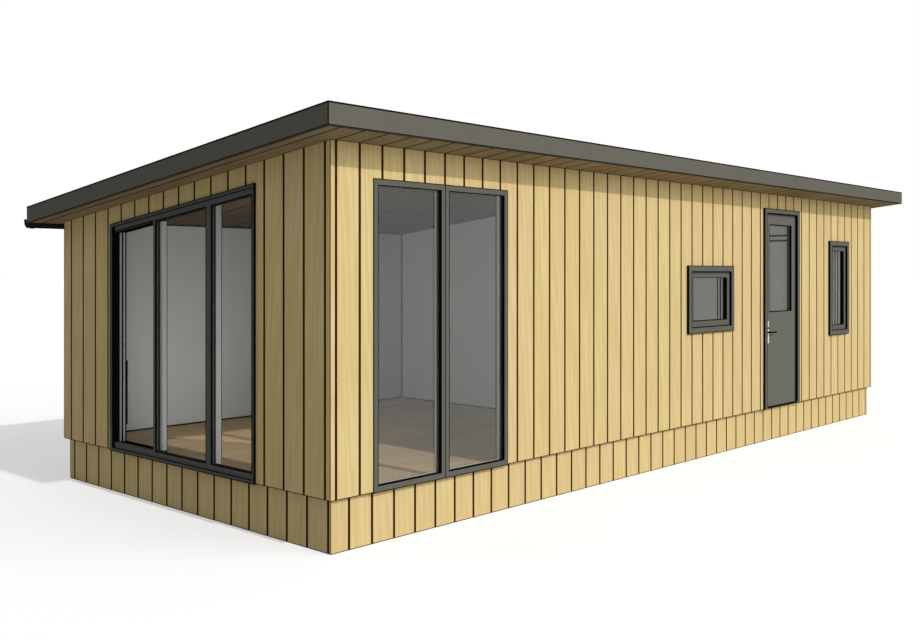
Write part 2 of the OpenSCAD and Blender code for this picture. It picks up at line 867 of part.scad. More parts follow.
module sliding_leaf() {
    pocket_l = roller_d + 2 * slide_gap;
    color(frame_grey) difference() {
        raked_panel(slide_x, slide_y0, slide_y1, slide_z0, slide_drop, slide_stile, slide_rail);
        for (y = roller_ys)
            slab([track_x - roller_pocket / 2, y - pocket_l / 2, slide_z0 - over],
                [track_x + roller_pocket / 2, y + pocket_l / 2, roller_z + roller_d / 2 + slide_gap]);
    }
}

module sliding_pane() {
    color(glass_blue) raked_pane(slide_x, slide_y0, slide_y1, slide_z0, slide_drop, slide_stile, slide_rail);
}

module sliding_rollers() {
    color(black) for (y = roller_ys) translate([track_x, y, roller_z]) rotate([0, 90, 0]) {
        cylinder(d = roller_d, h = track_w, center = true);
        cylinder(d = roller_d / 3, h = roller_pocket, center = true);
    }
}

module sliding_pull() {
    x = slide_x + end_panel_t;
    y = slide_y1 - pull_from_edge;
    z = z_floor + pull_foot;
    color(black) {
        slab([x + pull_off, y - pull_w / 2, z], [x + pull_off + pull_t, y + pull_w / 2, z + pull_l]);
        for (rise = [pull_l / 8, pull_l * 7 / 8])
            translate([x, y, z + rise]) rotate([0, 90, 0]) cylinder(d = pull_t, h = pull_off + pull_t / 2);
    }
}

plinth_front();
plinth_back();
plinth_left();
plinth_right();
bearers();
floor_joists();
floor_deck();
front_wall();
front_wall_over_door();
front_wall_far();
back_wall();
left_wall_front();
left_wall_back();
left_wall_over_door();
right_wall();
partition();
ceiling_boards();
roof_panel();
roof_covering();
fascia_front();
fascia_back();
fascia_left();
fascia_right();
gutter();
gutter_brackets();
downpipe();
downpipe_clips();
long_window_frames();
window_casings();
window_sashes();
window_panes();
opening_linings();
front_door_frame();
front_door_threshold();
front_door_frame_hinges();
front_door_leaf();
front_door_pane();
front_door_plates();
front_door_leaf_hinges();
front_door_lever();
end_door_frame();
end_door_fixed_panels();
end_door_fixed_panes();
end_door_track();
sliding_leaf();
sliding_pane();
sliding_pull();
sliding_rollers();
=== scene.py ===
"""Looks of a single-storey mono-pitch timber chalet, laid out as an add-on.

The packed model is the fixed frame. Boards, seals, painted shade in black, edge trims, roof sheets and finishes are
added around it.
Lengths are metres in the packed model's own frame: X along the front wall, Y to the back, Z up.
"""

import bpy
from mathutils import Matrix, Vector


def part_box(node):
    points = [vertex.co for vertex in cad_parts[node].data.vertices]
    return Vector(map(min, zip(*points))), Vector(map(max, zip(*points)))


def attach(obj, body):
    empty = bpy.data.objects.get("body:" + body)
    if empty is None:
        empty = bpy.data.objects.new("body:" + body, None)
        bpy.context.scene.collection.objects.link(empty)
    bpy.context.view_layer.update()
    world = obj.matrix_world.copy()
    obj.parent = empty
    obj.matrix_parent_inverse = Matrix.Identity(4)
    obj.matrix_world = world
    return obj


bl_info = {
    "name": "Timber chalet looks",
    "version": (1, 0, 0),
    "blender": (4, 5, 0),
    "location": "View3D > Sidebar > Chalet",
    "description": "Boards, trims, finishes and a stage around the packed chalet",
    "category": "Object",
}

import math

import bpy
import numpy as np
from mathutils import Vector

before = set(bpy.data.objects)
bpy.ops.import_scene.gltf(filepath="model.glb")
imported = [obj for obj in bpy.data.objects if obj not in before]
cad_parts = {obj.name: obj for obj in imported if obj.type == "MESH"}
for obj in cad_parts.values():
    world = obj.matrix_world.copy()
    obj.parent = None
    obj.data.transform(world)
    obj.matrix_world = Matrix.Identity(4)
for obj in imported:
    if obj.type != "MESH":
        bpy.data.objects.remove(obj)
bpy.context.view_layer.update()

# Faces of the walls, outside and inside, and the top of the floor
LEFT, FRONT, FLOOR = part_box("front_wall")[0]
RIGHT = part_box("front_wall_far")[1].x
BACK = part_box("back_wall")[1].y
IN_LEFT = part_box("left_wall_front")[1].x
IN_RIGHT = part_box("right_wall")[0].x
IN_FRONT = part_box("left_wall_front")[0].y
IN_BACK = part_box("back_wall")[0].y

# A line is (height at zero, slope): here over Y, for the wall heads, the roof's top and the end door's head
FALL = (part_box("left_wall_front")[1].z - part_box("left_wall_back")[1].z) / (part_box("left_wall_back")[0].y - IN_FRONT)
HEAD = (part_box("left_wall_front")[1].z + FALL * IN_FRONT, -FALL)
EAVES = (Vector((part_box("fascia_left")[0].x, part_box("fascia_front")[0].y)),
         Vector((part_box("fascia_right")[1].x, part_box("fascia_back")[1].y)))
ROOF_TOP = (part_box("fascia_front")[1].z + FALL * EAVES[0].y, -FALL)
END_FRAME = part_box("end_door_frame")
END_HEAD = (END_FRAME[1].z + FALL * END_FRAME[0].y, -FALL)

# A plane that pieces lie on is its origin, then the directions across, along and outwards


def facing_front(y):
    """Upright plane at a depth, seen from the front."""
    return ((0, y, 0), (1, 0, 0), (0, 0, 1), (0, -1, 0))


def facing_back(y):
    """Upright plane at a depth, seen from the back."""
    return ((0, y, 0), (1, 0, 0), (0, 0, 1), (0, 1, 0))


def facing_left(x):
    """Upright plane across the house, seen from the left."""
    return ((x, 0, 0), (0, 1, 0), (0, 0, 1), (-1, 0, 0))


def facing_right(x):
    """Upright plane across the house, seen from the right."""
    return ((x, 0, 0), (0, 1, 0), (0, 0, 1), (1, 0, 0))


FRONT_PLANE, BACK_PLANE = facing_front(FRONT), facing_back(BACK)
LEFT_PLANE, RIGHT_PLANE = facing_left(LEFT), facing_right(RIGHT)
SOFFIT_PLANE = ((0, 0, HEAD[0]), (1, 0, 0), (0, 1, -FALL), (0, 0, -1))
ROOF_PLANE = ((0, 0, ROOF_TOP[0]), (1, 0, 0), (0, 1, -FALL), (0, 0, 1))
FLOOR_PLANE = ((0, 0, FLOOR), (0, 1, 0), (1, 0, 0), (0, 0, 1))


def srgb(red, green, blue):
    """Linear colour of an 8-bit screen colour, by the sRGB curve."""
    share = np.array((red, green, blue)) / 255
    curve = np.where(share <= 0.04045, share / 12.92, ((share + 0.055) / 1.055) ** 2.4)
    return tuple(float(x) for x in curve)


def amount(name, description, default, **kind):
    """A number that a user would change."""
    return bpy.props.FloatProperty(name=name, description=description, default=default, **kind)


def amounts(name, description, default, **kind):
    """Several numbers that a user would change together."""
    return bpy.props.FloatVectorProperty(name=name, description=description, default=default, size=len(default), **kind)


def length(name, description, default):
    """A length that a user would change."""
    return amount(name, description, default, min=0.0, unit="LENGTH", precision=4)


def angle(name, description, degrees):
    """An angle that a user would change, written in degrees."""
    return amount(name, description, math.radians(degrees), subtype="ANGLE")


def colour(name, description, *screen):
    """A colour that a user would change, written as an 8-bit screen colour."""
    return amounts(name, description, srgb(*screen), min=0.0, max=1.0, subtype="COLOR")


class ChaletBoardSizes(bpy.types.PropertyGroup):
    """Sizes of the boards, planks and roof sheets"""

    pitch: length("Board pitch", "From one board joint to the next", 0.240)
    joint: length("Board joint", "Width of the open joint between two boards", 0.023)
    thick: length("Board thickness", "How far the boards stand proud of the wall", 0.005)
    edge: length("Board edge", "Radius of the eased edges", 0.002)
    shadow_gap: length("Shadow gap", "Gap that the wall boards leave at their head and foot", 0.008)
    corner_gap: length("Corner gap", "Gap between the end boards and the front boards at a corner", 0.004)
    front_first: length("Front wall, first joint", "From the left corner to the first joint", 0.048)
    end_first: length("End wall, first joint", "From the front corner to the first joint", 0.059)
    plinth_front_first: length("Front plinth, first joint", "From the left corner to the first joint", 0.219)
    plinth_end_first: length("End plinth, first joint", "From the front corner to the first joint", 0.073)
    soffit_thick: length("Soffit board thickness", "How far the soffit boards hang below the deck", 0.004)
    soffit_joint: length("Soffit joint", "Width of the joint between two soffit boards", 0.018)
    plank: length("Floor plank", "Width of a floor plank", 0.190)
    plank_thick: length("Plank thickness", "How far the planks stand on the deck", 0.002)
    sheet: length("Roof sheet", "Width of a roof sheet between its laps", 1.060)
    sheet_thick: length("Roof sheet thickness", "Height of a lap above the sheet beside it", 0.003)


class ChaletTrimSizes(bpy.types.PropertyGroup):
    """Sizes of the seals, beads, edge trims and black painted shade"""

    seal: length("Glazing seal", "Width of the black seal on the glass", 0.003)
    seal_rise: length("Seal rise", "Thickness of the seal over the glass", 0.004)
    # The black liner up the reveals is painted shade, for reveal sides that lie in shade
    shade_liner: length("Reveal liner", "Thickness of the black liner in the reveals", 0.003)
    # The black lining up the frames' outer sides is painted shade, for sides that lie in shade
    side_shade: length("Side lining", "Thickness of the black lining on a frame's outer sides", 0.004)
    line: length("Edge line", "Width of the black line along the edges of a frame's face", 0.006)
    line_rise: length("Line rise", "Thickness of the black line over a frame's face", 0.001)
    # The black jamb cover is painted shade on the closing jamb, deep in the end door's reveal
    jamb: length("Jamb cover", "Width of the black cover on the end door's closing jamb", 0.030)
    cover: length("Head cover", "Thickness of the cover over the sliding leaf's head", 0.020)
    post_depth: length("Post depth", "Depth of the end door's post behind its panels", 0.068)
    lip: length("Frame lip", "Width and height of the end door's outer lip", 0.007)
    cap: length("Roof edge cap", "How far the edge cap laps down over the fascia", 0.010)
    cap_width: length("Cap width", "Width of the edge cap on the roof", 0.045)
    drip: length("Drip strip", "Height of the dark strip at the fascia's foot", 0.007)
    sheet_metal: length("Sheet metal", "Thickness of the edge trims", 0.002)
    bead: length("Room bead", "Size of the shadow bead along the room's edges", 0.018)
    rail_foot: length("Wall rail's foot", "Height of the right end wall's lower bead over the floor", 2.182)
    rail_head: length("Wall rail's head", "Height of the right end wall's upper bead over the floor", 2.260)
    plate_band: length("Plate band", "Height of the dark bands on the handle plates", 0.020)
    plate_gap: length("Plate band's place", "From the plate's head to its upper band", 0.082)
    door_lap: length("Door stop lap", "How far the frame's stop laps over the front door's leaf", 0.010)
    door_seal: length("Door seal", "Width of the seal between the frame's stop and the leaf", 0.007)
    door_gap: length("Door seal gap", "Clearance of the seal over the leaf, and the seal's thickness", 0.003)


class ChaletColours(bpy.types.PropertyGroup):
    """Colours of the finishes"""

    larch: colour("Larch", "Sound wood of the wall boards", 228, 207, 147)
    larch_warm: colour("Warm larch", "Sound wood of the redder wall boards", 230, 202, 153)
    larch_grain: colour("Larch grain", "Darker grain of the wall boards", 209, 182, 122)
    joint: colour("Board joint", "Bottom and sides of the open board joints", 66, 38, 16)
    soffit: colour("Soffit wood", "Wood of the soffit boards", 176, 161, 124)
    soffit_warm: colour("Warm soffit wood", "Wood of the redder soffit boards", 176, 154, 122)
    soffit_grain: colour("Soffit grain", "Darker grain of the soffit boards", 134, 117, 84)
    ceiling: colour("Ceiling wood", "Wood of the ceiling boards", 112, 100, 78)
    ceiling_warm: colour("Warm ceiling wood", "Wood of the redder ceiling boards", 112, 95, 74)
    ceiling_grain: colour("Ceiling grain", "Darker grain of the ceiling boards", 74, 62, 45)
    floor: colour("Floor wood", "Wood of the floor planks", 216, 193, 149)
    floor_warm: colour("Warm floor wood", "Wood of the redder floor planks", 218, 188, 145)
    floor_grain: colour("Floor grain", "Darker grain of the floor planks", 186, 158, 117)
    frame_grey: colour("Frame grey", "Outside of the front wall's window and door frames", 103, 103, 94)
    leaf_grey: colour("Door grey", "Outside of the front door's leaf", 109, 109, 100)
    end_grey: colour("End door grey", "Outside of the end door's frames", 102, 103, 97)
    fascia_grey: colour("Fascia grey", "Fascia boards", 108, 105, 95)
    inner_white: colour("Inner paint", "Inside of the walls", 226, 231, 229)
    rough: colour("Rough timber", "Sawn timber of the floor's frame", 170, 142, 100)
    rough_grain: colour("Rough grain", "Darker grain of the sawn timber", 132, 106, 70)
    inner_frame: colour("Inner frame", "Inside of the window and door frames", 236, 237, 234)
    # Seal black is also the painted shade up the reveals and on the frames' outer sides, and the sliding leaf outside
    # its stiles
    seal: colour("Seal black", "Seals and black linings", 20, 20, 20)
    gutter: colour("Gutter", "Gutter, brackets and downpipe", 46, 46, 44)
    membrane: colour("Roof sheet", "Roof covering", 92, 92, 90)
    tint: colour("Window tint", "Tint of the window glass", 84, 90, 92)
    clear: colour("End door tint", "Tint of the end door's glass", 60, 64, 62)
    bright: colour("Bright metal", "Handle plates, hinges and tracks", 222, 222, 218)
    # Black is also the roof deck and the roof sheets' sides, painted shade at the laps
    black: colour("Black metal", "Edge trims, lever, pull and rollers", 26, 26, 27)


class ChaletStage(bpy.types.PropertyGroup):
    """Light and camera"""

    sun_height: angle("Sun height", "Sun above the horizon, seen from the end", 36.0)
    sun_turn: angle("Sun turn", "Sun's turn from square to the front wall", 0.5)
    sun_power: amount("Sun power", "Strength of the sun lamp", 1.46)
    sun_size: angle("Sun size", "Angular size of the sun lamp", 1.0)
    fill_power: amount("Fill power", "Strength of the broad light from the front", 1.87)
    fill_size: angle("Fill size", "Angular size of the broad light", 70.0)
    fill_travel: amounts("Fill travel", "Direction the broad light travels in", (-0.5, 1.0, -0.15), subtype="DIRECTION")
    sky_power: amount("Sky power", "Strength of the sky's fill", 0.345)
    room_power: amount("Room power", "Watts of the soft light inside the end door", 12.5)
    rear_power: amount("Rear power", "Watts of the soft light behind the partition", 44.0)
    camera_place: amounts("Camera", "Place of the camera", (LEFT - 4.950, FRONT - 5.543, 2.080), subtype="TRANSLATION")
    camera_turn: amount("Camera turn", "Level turn from +Y towards +X", math.atan2(0.7054, 0.7088), subtype="ANGLE")
    lens: amount("Lens", "Focal length on a 36 mm sensor", 39.67, unit="CAMERA")
    shift: amounts("Shift", "Lens shift as a share of the image's width", (0.0809, -0.0510))


# Meshes


def to_frame(points, plane, quads, caps):
    """Points across, along and outwards become frame points; a mirrored plane turns the faces round."""
    origin, axes = np.array(plane[0]), np.array(plane[1:])
    if np.linalg.det(axes) < 0:
        quads, caps = quads[:, ::-1], [cap[:, ::-1] for cap in caps]
    return points @ axes + origin, [quads, *caps]


def joined(parts):
    """One array of points and one list of faces from several parts, each part's faces counted on."""
    starts = np.cumsum([0] + [len(points) for points, _ in parts])
    faces = [face + start for (_, part_faces), start in zip(parts, starts) for face in part_faces]
    return np.concatenate([points for points, _ in parts]), faces


def linked(name, data):
    """New object in the scene."""
    made = bpy.data.objects.new(name, data)
    bpy.context.scene.collection.objects.link(made)
    return made


def piece(name, mesh_arrays, finish, body="house", attributes=None):
    """Object from whole arrays of points and faces, with its finish and point values, riding on a body."""
    points, faces = mesh_arrays
    mesh = bpy.data.meshes.new(name)
    mesh.from_pydata(points.tolist(), [], [row for face in faces for row in face.tolist()])
    for key, values in (attributes or {}).items():
        mesh.attributes.new(key, "FLOAT", "POINT").data.foreach_set("value", values.astype(np.float32))
    mesh.materials.append(finished(finish))
    made = linked(name, mesh)
    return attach(made, body)


def solid_boxes(node):
    """Boxes of a node's separate solids, from left to right.

    Corners at one place count as one point. The points of a triangle take the smallest label among them, again
    and again, until each solid has one label.
    """
    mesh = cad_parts[node].data
    points = np.empty(3 * len(mesh.vertices))
    mesh.vertices.foreach_get("co", points)
    points = points.reshape(-1, 3)
    corners = np.empty(len(mesh.loops), int)
    mesh.loops.foreach_get("vertex_index", corners)
    place = np.unique(np.round(points, 5), axis=0, return_inverse=True)[1].ravel()
    triangles = place[corners].reshape(-1, 3)
    label, before = np.arange(place.max() + 1), None
    while before is None or (label != before).any():
        before = label.copy()
        np.minimum.at(label, triangles, before[triangles].min(axis=1, keepdims=True))
    groups = [points[label[place] == one] for one in np.unique(label[place])]
    return sorted((tuple(group.min(axis=0)), tuple(group.max(axis=0))) for group in groups)


def board_edges(start, end, first, pitch):
    """Board limits: the ends, and a joint at each pitch counted from the first joint."""
    joints = np.arange(start + first, end, pitch)
    return np.concatenate([[start], joints[(joints > start) & (joints < end)], [end]])


def cut_boards(edges, joint, edge, foot, head, holes=()):
    """Rows of board pieces: both sides, foot line, head line, both eased edges and the board's number.

    A board runs from half a joint past one limit to half a joint before the next. It is cut at the sides of the
    holes that reach into it, and each cut column keeps what lies between the foot, the holes and the head. A hole
    is (side, side, foot line, head line).
    """
    rows = []
    hairline = edge / 20
    for number, (low, high) in enumerate(zip(edges[:-1], edges[1:])):
        low = low + (joint / 2 if number else 0)
        high = high - (joint / 2 if number < len(edges) - 2 else 0)
        inside = {side for hole in holes for side in hole[:2] if low < side < high}
        sides = [low, *sorted(inside), high]
        for a, b in zip(sides[:-1], sides[1:]):
            middle = (a + b) / 2
            start = foot
            eased = (edge if a == low else hairline, edge if b == high else hairline)
            over = sorted((h for h in holes if h[0] < middle < h[1]), key=lambda h: height(h[2], middle))
            for _, _, hole_foot, hole_head in [*over, (0, 0, head, head)]:
                if height(hole_foot, middle) - height(start, middle) > edge:
                    rows.append((a, b, *start, *hole_foot, *eased, number))
                start = hole_head
    return np.array(rows)


# A board's outline across: which side it counts from, how far in by the edge, how far down by the edge
BOARD_SIDE = np.array((0, 0, 0, 0, 1, 1, 1, 1))
EASING = 1 - math.sqrt(0.5)
BOARD_IN = np.array((0, 0, EASING, 1, 1, EASING, 0, 0))
BOARD_DOWN = np.array((0, 1, EASING, 0, 0, EASING, 1, 0))
BOARD_FOOT = np.array((1, 0, 0, 0, 0, 0, 0, 1))
# How much of the outline shows planed wood: none on the sides, all on the face. On roof sheets the sides take the dark
# lap colour, painted shade at the laps
BOARD_FACE = np.array((0, 0, 0.4, 1, 1, 0.4, 0, 0))


def board_mesh(rows, plane, thick, edge):
    """Closed boards: the outline with eased edges is carried from the foot line to the head line.

    Across = side plus or minus the inset, along = line height + line slope times across, outwards = thickness
    less the easing.
    """
    a, b, foot, foot_slope, head, head_slope, ease_a, ease_b, _ = (column[:, None] for column in rows.T)
    across = np.where(BOARD_SIDE == 0, a + ease_a * BOARD_IN, b - ease_b * BOARD_IN)
    out = np.where(BOARD_FOOT == 1, 0.0, thick - edge * BOARD_DOWN) + 0 * a
    rings = np.stack([np.stack([across, line + slope * across, out], axis=-1)
                      for line, slope in ((foot, foot_slope), (head, head_slope))], axis=1)
    count, sides = len(rows), len(BOARD_SIDE)
    start = 2 * sides * np.arange(count)[:, None]
    here = np.arange(sides)
    there = (here + 1) % sides
    quads = np.stack([start + here, start + there, start + sides + there, start + sides + here], axis=-1)
    caps = [start + here[::-1], start + sides + here]
    return to_frame(rings.reshape(-1, 3), plane, quads.reshape(-1, 4), caps)


# First seed of each group's random draws
WALL_SEED, PLINTH_SEED, SOFFIT_SEED, FLOOR_SEED, ROOF_SEED = 0, 10, 20, 30, 40


def board_piece(name, rows, plane, thick, edge, finish, seed):
    """Boards on a plane, each with its own tone from a seeded draw, and dark sides; on roof sheets these are painted
    shade at the laps.
    """
    tones = np.random.default_rng(seed).random(int(rows[:, -1].max()) + 1)
    values = {"tone": np.repeat(tones[rows[:, -1].astype(int)], 2 * len(BOARD_SIDE)),
              "face": np.tile(BOARD_FACE, 2 * len(rows))}
    return piece(name, board_mesh(rows, plane, thick, edge), finish, attributes=values)


def level(at):
    """A line that stays at one height."""
    return (at, 0.0)


def height(line, place):
    """Height of a line at a place: its height at zero plus its slope times the place."""
    return line[0] + line[1] * place


def outline(low, high, foot, head):
    """Corners of an opening, counter-clockwise: a level foot and a head line that may be raked."""
    return np.array([(low, foot), (high, foot), (high, height(head, high)), (low, height(head, low))])


def front_outline(box):
    """Corners of a box seen from the front."""
    low, high = box
    return outline(low[0], high[0], low[2], level(high[2]))


def swept_trim(path, profile, plane, closed=True):
    """Closed trim: a profile carried along a path of straight runs, mitred at the corners.

    The profile is (outwards from the path, height over the plane), counter-clockwise. At a corner the outward
    step is the sum of both runs' normals over one plus their dot product.
    """
    path, profile = np.asarray(path, float), np.asarray(profile, float)
    runs = np.roll(path, -1, axis=0) - path
    runs /= np.linalg.norm(runs, axis=1, keepdims=True)
    after = np.stack([runs[:, 1], -runs[:, 0]], axis=1)
    before = np.roll(after, 1, axis=0)
    if not closed:
        before[0], after[-1] = after[0], before[-1]
    mitre = (before + after) / (1 + (before * after).sum(axis=1, keepdims=True))
    flat = path[:, None, :] + mitre[:, None, :] * profile[None, :, :1]
    rise = np.broadcast_to(profile[None, :, 1:], flat[:, :, :1].shape)
    points = np.concatenate([flat, rise], axis=2).reshape(-1, 3)
    count, sides = len(path), len(profile)
    stop = np.arange(count if closed else count - 1)[:, None]
    here = np.arange(sides)
    there = (here + 1) % sides
    follow = (stop + 1) % count
    quads = np.stack([stop * sides + here, follow * sides + here, follow * sides + there, stop * sides + there],
                     axis=-1).reshape(-1, 4)
    caps = [] if closed else [here[None, ::-1].copy(), (here + (count - 1) * sides)[None, :]]
    return to_frame(points, plane, quads, caps)


def bar_profile(inner, outer, foot, top):
    """Rectangular profile between two outward steps and two heights."""
    return [(outer, foot), (outer, top), (inner, top), (inner, foot)]


def seal_and_shade_profile(trim, depth, line):
    """Black section: a rubber seal foot on the glass, a leg up the reveal that is painted shade, and a line of that
    width over the frame's face.
    """
    top = depth + trim.line_rise
    return [(0, 0), (0, depth), (line, depth), (line, top), (-trim.shade_liner, top), (-trim.shade_liner, trim.seal_rise),
            (-trim.seal, trim.seal_rise), (-trim.seal, 0)]


def side_shade_profile(trim, proud, line):
    """Black section: a leg up a frame's outer side, which is painted shade, and a line of that width over its face."""
    top = proud + trim.line_rise
    return [(trim.side_shade, 0), (trim.side_shade, top), (-line, top), (-line, proud), (0, proud), (0, 0)]


def black_piece(name, parts, body="house"):
    """Black piece of several parts: rubber seals, lines and beads, and painted shade in reveals and on frames' outer
    sides.
    """
    return piece(name, joined(parts), "seal_and_shade_black", body)


# Finishes


def node(tree, kind, inputs=None, **settings):
    """Shader node with its settings and inputs; an input that is a socket is linked."""
    made = tree.nodes.new(kind)
    for key, value in settings.items():
        setattr(made, key, value)
    for key, value in (inputs or {}).items():
        if isinstance(value, bpy.types.NodeSocket):
            tree.links.new(value, made.inputs[key])
        else:
            made.inputs[key].default_value = value
    return made


def blank(name, **inputs):
    """New material, its tree and its shader, with the shader's own sockets set."""
    made = bpy.data.materials.new(name)
    made.use_nodes = True
    shader = made.node_tree.nodes["Principled BSDF"]
    for key, value in inputs.items():
        shader.inputs[key.replace("_", " ")].default_value = value
    return made, made.node_tree, shader


def rgba(colour_property):
    """Colour property as a colour with full cover."""
    return (*colour_property, 1.0)


def grey(share):
    """Grey with full cover."""
    return (share, share, share, 1.0)


def mixed(tree, share, first, second, blend="MIX"):
    """Colour socket between two colours, by a share or a share socket."""
    return node(tree, "ShaderNodeMix", {0: share, 6: first, 7: second}, data_type="RGBA", blend_type=blend).outputs[2]


def spread(tree, value, low, high):
    """Value socket that runs from low to high as a value runs from nought to one."""
    return node(tree, "ShaderNodeMapRange", {"Value": value, "To Min": low, "To Max": high}).outputs[0]


def object_axis(tree, axis):
    """One Object coordinate as a value socket."""
    place = node(tree, "ShaderNodeTexCoord").outputs["Object"]
    return node(tree, "ShaderNodeSeparateXYZ", {0: place}).outputs[axis]


def worked(tree, operation, *values):
    """Value socket of a sum on values or value sockets."""
    return node(tree, "ShaderNodeMath", dict(enumerate(values)), operation=operation).outputs[0]


def beyond(tree, axis, limit):
    """One where an Object coordinate passes a limit, else nought."""
    return worked(tree, "GREATER_THAN", object_axis(tree, axis), limit)


def below(tree, axis, limit):
    """One where an Object coordinate stays under a limit, else nought."""
    return worked(tree, "LESS_THAN", object_axis(tree, axis), limit)


def both(tree, first, second):
    """One where two masks are one."""
    return worked(tree, "MULTIPLY", first, second)


def point_value(tree, name):
    """Value socket of the points' own values."""
    return node(tree, "ShaderNodeAttribute", attribute_name=name).outputs["Fac"]


def bumped(tree, shader, height, strength, distance):
    """Fine relief on the shader's normal."""
    bump = node(tree, "ShaderNodeBump", {"Height": height, "Strength": strength, "Distance": distance})
    tree.links.new(bump.outputs[0], shader.inputs["Normal"])


def stretched(tree, stretch, offset=None):
    """Object coordinates moved by an offset socket, then stretched along an axis."""
    place = node(tree, "ShaderNodeTexCoord").outputs["Object"]
    if offset is not None:
        place = node(tree, "ShaderNodeVectorMath", {0: place, 1: offset}, operation="ADD").outputs[0]
    return node(tree, "ShaderNodeMapping", {"Vector": place, "Scale": stretch}).outputs[0]


def noise(tree, scale, detail=4.0, stretch=(1.0, 1.0, 1.0), offset=None):
    """Noise on stretched Object coordinates."""
    place = stretched(tree, stretch, offset)
    return node(tree, "ShaderNodeTexNoise", {"Vector": place, "Scale": scale, "Detail": detail}).outputs[0]


# Wood: stretch along the board, scale and detail of the streaks, the wavy figure and the soft patches
STREAKS, FIGURE, PATCHES = (0.045, 30.0, 5.0), (0.07, 8.0, 2.0), (0.25, 3.2, 2.0)
# Share of sound wood over the streaks, and of grain in the figure and in the patches, from low to high
STREAK_SHARE, FIGURE_SHARE, PATCH_SHARE = (0.35, 1.25), (0.0, 0.5), (-0.5, 0.8)
FIGURE_BEND = {"Distortion": 9.0, "Detail Scale": 1.4}
# Way from one board's grain to another's, times the board's tone
BOARD_OFFSET = (13.0, 7.0, 29.0)
# Strength and distance of the fine relief
WOOD_RELIEF, PAINT_RELIEF, SHEET_RELIEF = (0.25, 0.0008), (0.06, 0.0004), (0.2, 0.001)


def timber(name, sound, warm, grain, along, roughness, groove=None):
    """Wood: streaks and a wavy figure along the boards, soft patches, a tone for each board and a dark groove.

    The figure is a wave across the board, bent by noise and stretched along it, as growth rings show.
    """
    made, tree, shader = blank(name, Specular_IOR_Level=0.0)
    tone = point_value(tree, "tone")
    offset = node(tree, "ShaderNodeVectorMath", {0: BOARD_OFFSET, "Scale": tone}, operation="SCALE").outputs[0]
    streak, ring, patch = ([shares[0] if axis == along else 1.0 for axis in range(3)]
                           for shares in (STREAKS, FIGURE, PATCHES))
    streaks = noise(tree, *STREAKS[1:], streak, offset)
    rings = {"Vector": stretched(tree, ring, offset), "Scale": FIGURE[1], "Detail": FIGURE[2], **FIGURE_BEND}
    figure = node(tree, "ShaderNodeTexWave", rings, bands_direction="DIAGONAL").outputs["Fac"]
    patches = noise(tree, *PATCHES[1:], patch, offset)
    board = mixed(tree, tone, rgba(sound), rgba(warm))
    streaked = mixed(tree, spread(tree, streaks, *STREAK_SHARE), rgba(grain), board)
    figured = mixed(tree, spread(tree, figure, *FIGURE_SHARE), streaked, rgba(grain))
    patched = mixed(tree, spread(tree, patches, *PATCH_SHARE), figured, rgba(grain))
    if groove is not None:
        patched = mixed(tree, point_value(tree, "face"), rgba(groove), patched)
    tree.links.new(patched, shader.inputs["Base Color"])
    tree.links.new(spread(tree, streaks, roughness + 0.12, roughness - 0.08), shader.inputs["Roughness"])
    bumped(tree, shader, streaks, *WOOD_RELIEF)
    return made


# Paint: scale and detail of the orange peel and of the soft clouds, and what the clouds leave of the colour
PEEL, CLOUDS, CLOUD_SHADE = (420.0, 2.0), (2.4, 3.0), 0.93


def paint(name, outer, inner=None, mask=None, roughness=0.5, metallic=0.0, gloss=0.0):
    """Coated surface with a fine orange-peel relief; a mask gives the inside its own colour."""
    made, tree, shader = blank(name, Metallic=metallic, Specular_IOR_Level=gloss)
    peel, cloud = noise(tree, *PEEL), noise(tree, *CLOUDS)
    base = rgba(outer) if inner is None else mixed(tree, mask(tree), rgba(outer), rgba(inner))
    darker = mixed(tree, 1.0, base, grey(CLOUD_SHADE), "MULTIPLY")
    tree.links.new(mixed(tree, cloud, base, darker), shader.inputs["Base Color"])
    tree.links.new(spread(tree, cloud, roughness - 0.05, roughness + 0.1), shader.inputs["Roughness"])
    bumped(tree, shader, peel, *PAINT_RELIEF)
    return made


# Glass: scale and detail of its clouds, its roughness and the power of the slant; then the tint's cover, the gloss's
# colour, its share seen square on and at a slant, and what panes with no coating keep of it
GLASS_CLOUDS, GLASS_ROUGHNESS, SLANT_POWER = (1.5, 2.0), (0.02, 0.06), 4.0
COVER, SHEEN, GLOSS_SQUARE, GLOSS_SLANT, GLOSS_PLAIN = 0.02, (0.92, 0.95, 0.95, 1.0), 0.042, 0.70, 0.2


def glass(name, tint, gloss, coated=None):
    """Tinted glass: a share of tint over clear, under a gloss that grows with the fourth power of the slant.

    A limit on X keeps the full gloss to the coated panes on its left.
    """
    made, tree, shader = blank(name, Alpha=COVER, Base_Color=rgba(tint), Specular_IOR_Level=0.0)
    cloud = spread(tree, noise(tree, *GLASS_CLOUDS), *GLASS_ROUGHNESS)
    tree.links.new(cloud, shader.inputs["Roughness"])
    sheen = node(tree, "ShaderNodeBsdfGlossy", {"Color": SHEEN, "Roughness": cloud})
    facing = node(tree, "ShaderNodeLayerWeight").outputs["Facing"]
    share = spread(tree, worked(tree, "POWER", facing, SLANT_POWER), GLOSS_SQUARE * gloss, GLOSS_SLANT * gloss)
    if coated is not None:
        share = both(tree, share, spread(tree, beyond(tree, 0, coated), 1.0, GLOSS_PLAIN))
    shown = node(tree, "ShaderNodeMixShader", {0: share, 1: shader.outputs[0], 2: sheen.outputs[0]})
    tree.links.new(shown.outputs[0], tree.nodes["Material Output"].inputs["Surface"])
    return made


# Roof sheet: scale and detail of clouds and grit, most that a sheet's tone and the clouds darken, and its roughness
SHEET_CLOUDS, GRIT, TONE_SHARE, CLOUD_SHARE, SHEET_ROUGHNESS = (0.9, 4.0), (260.0, 3.0), 0.22, 0.18, (0.78, 0.92)


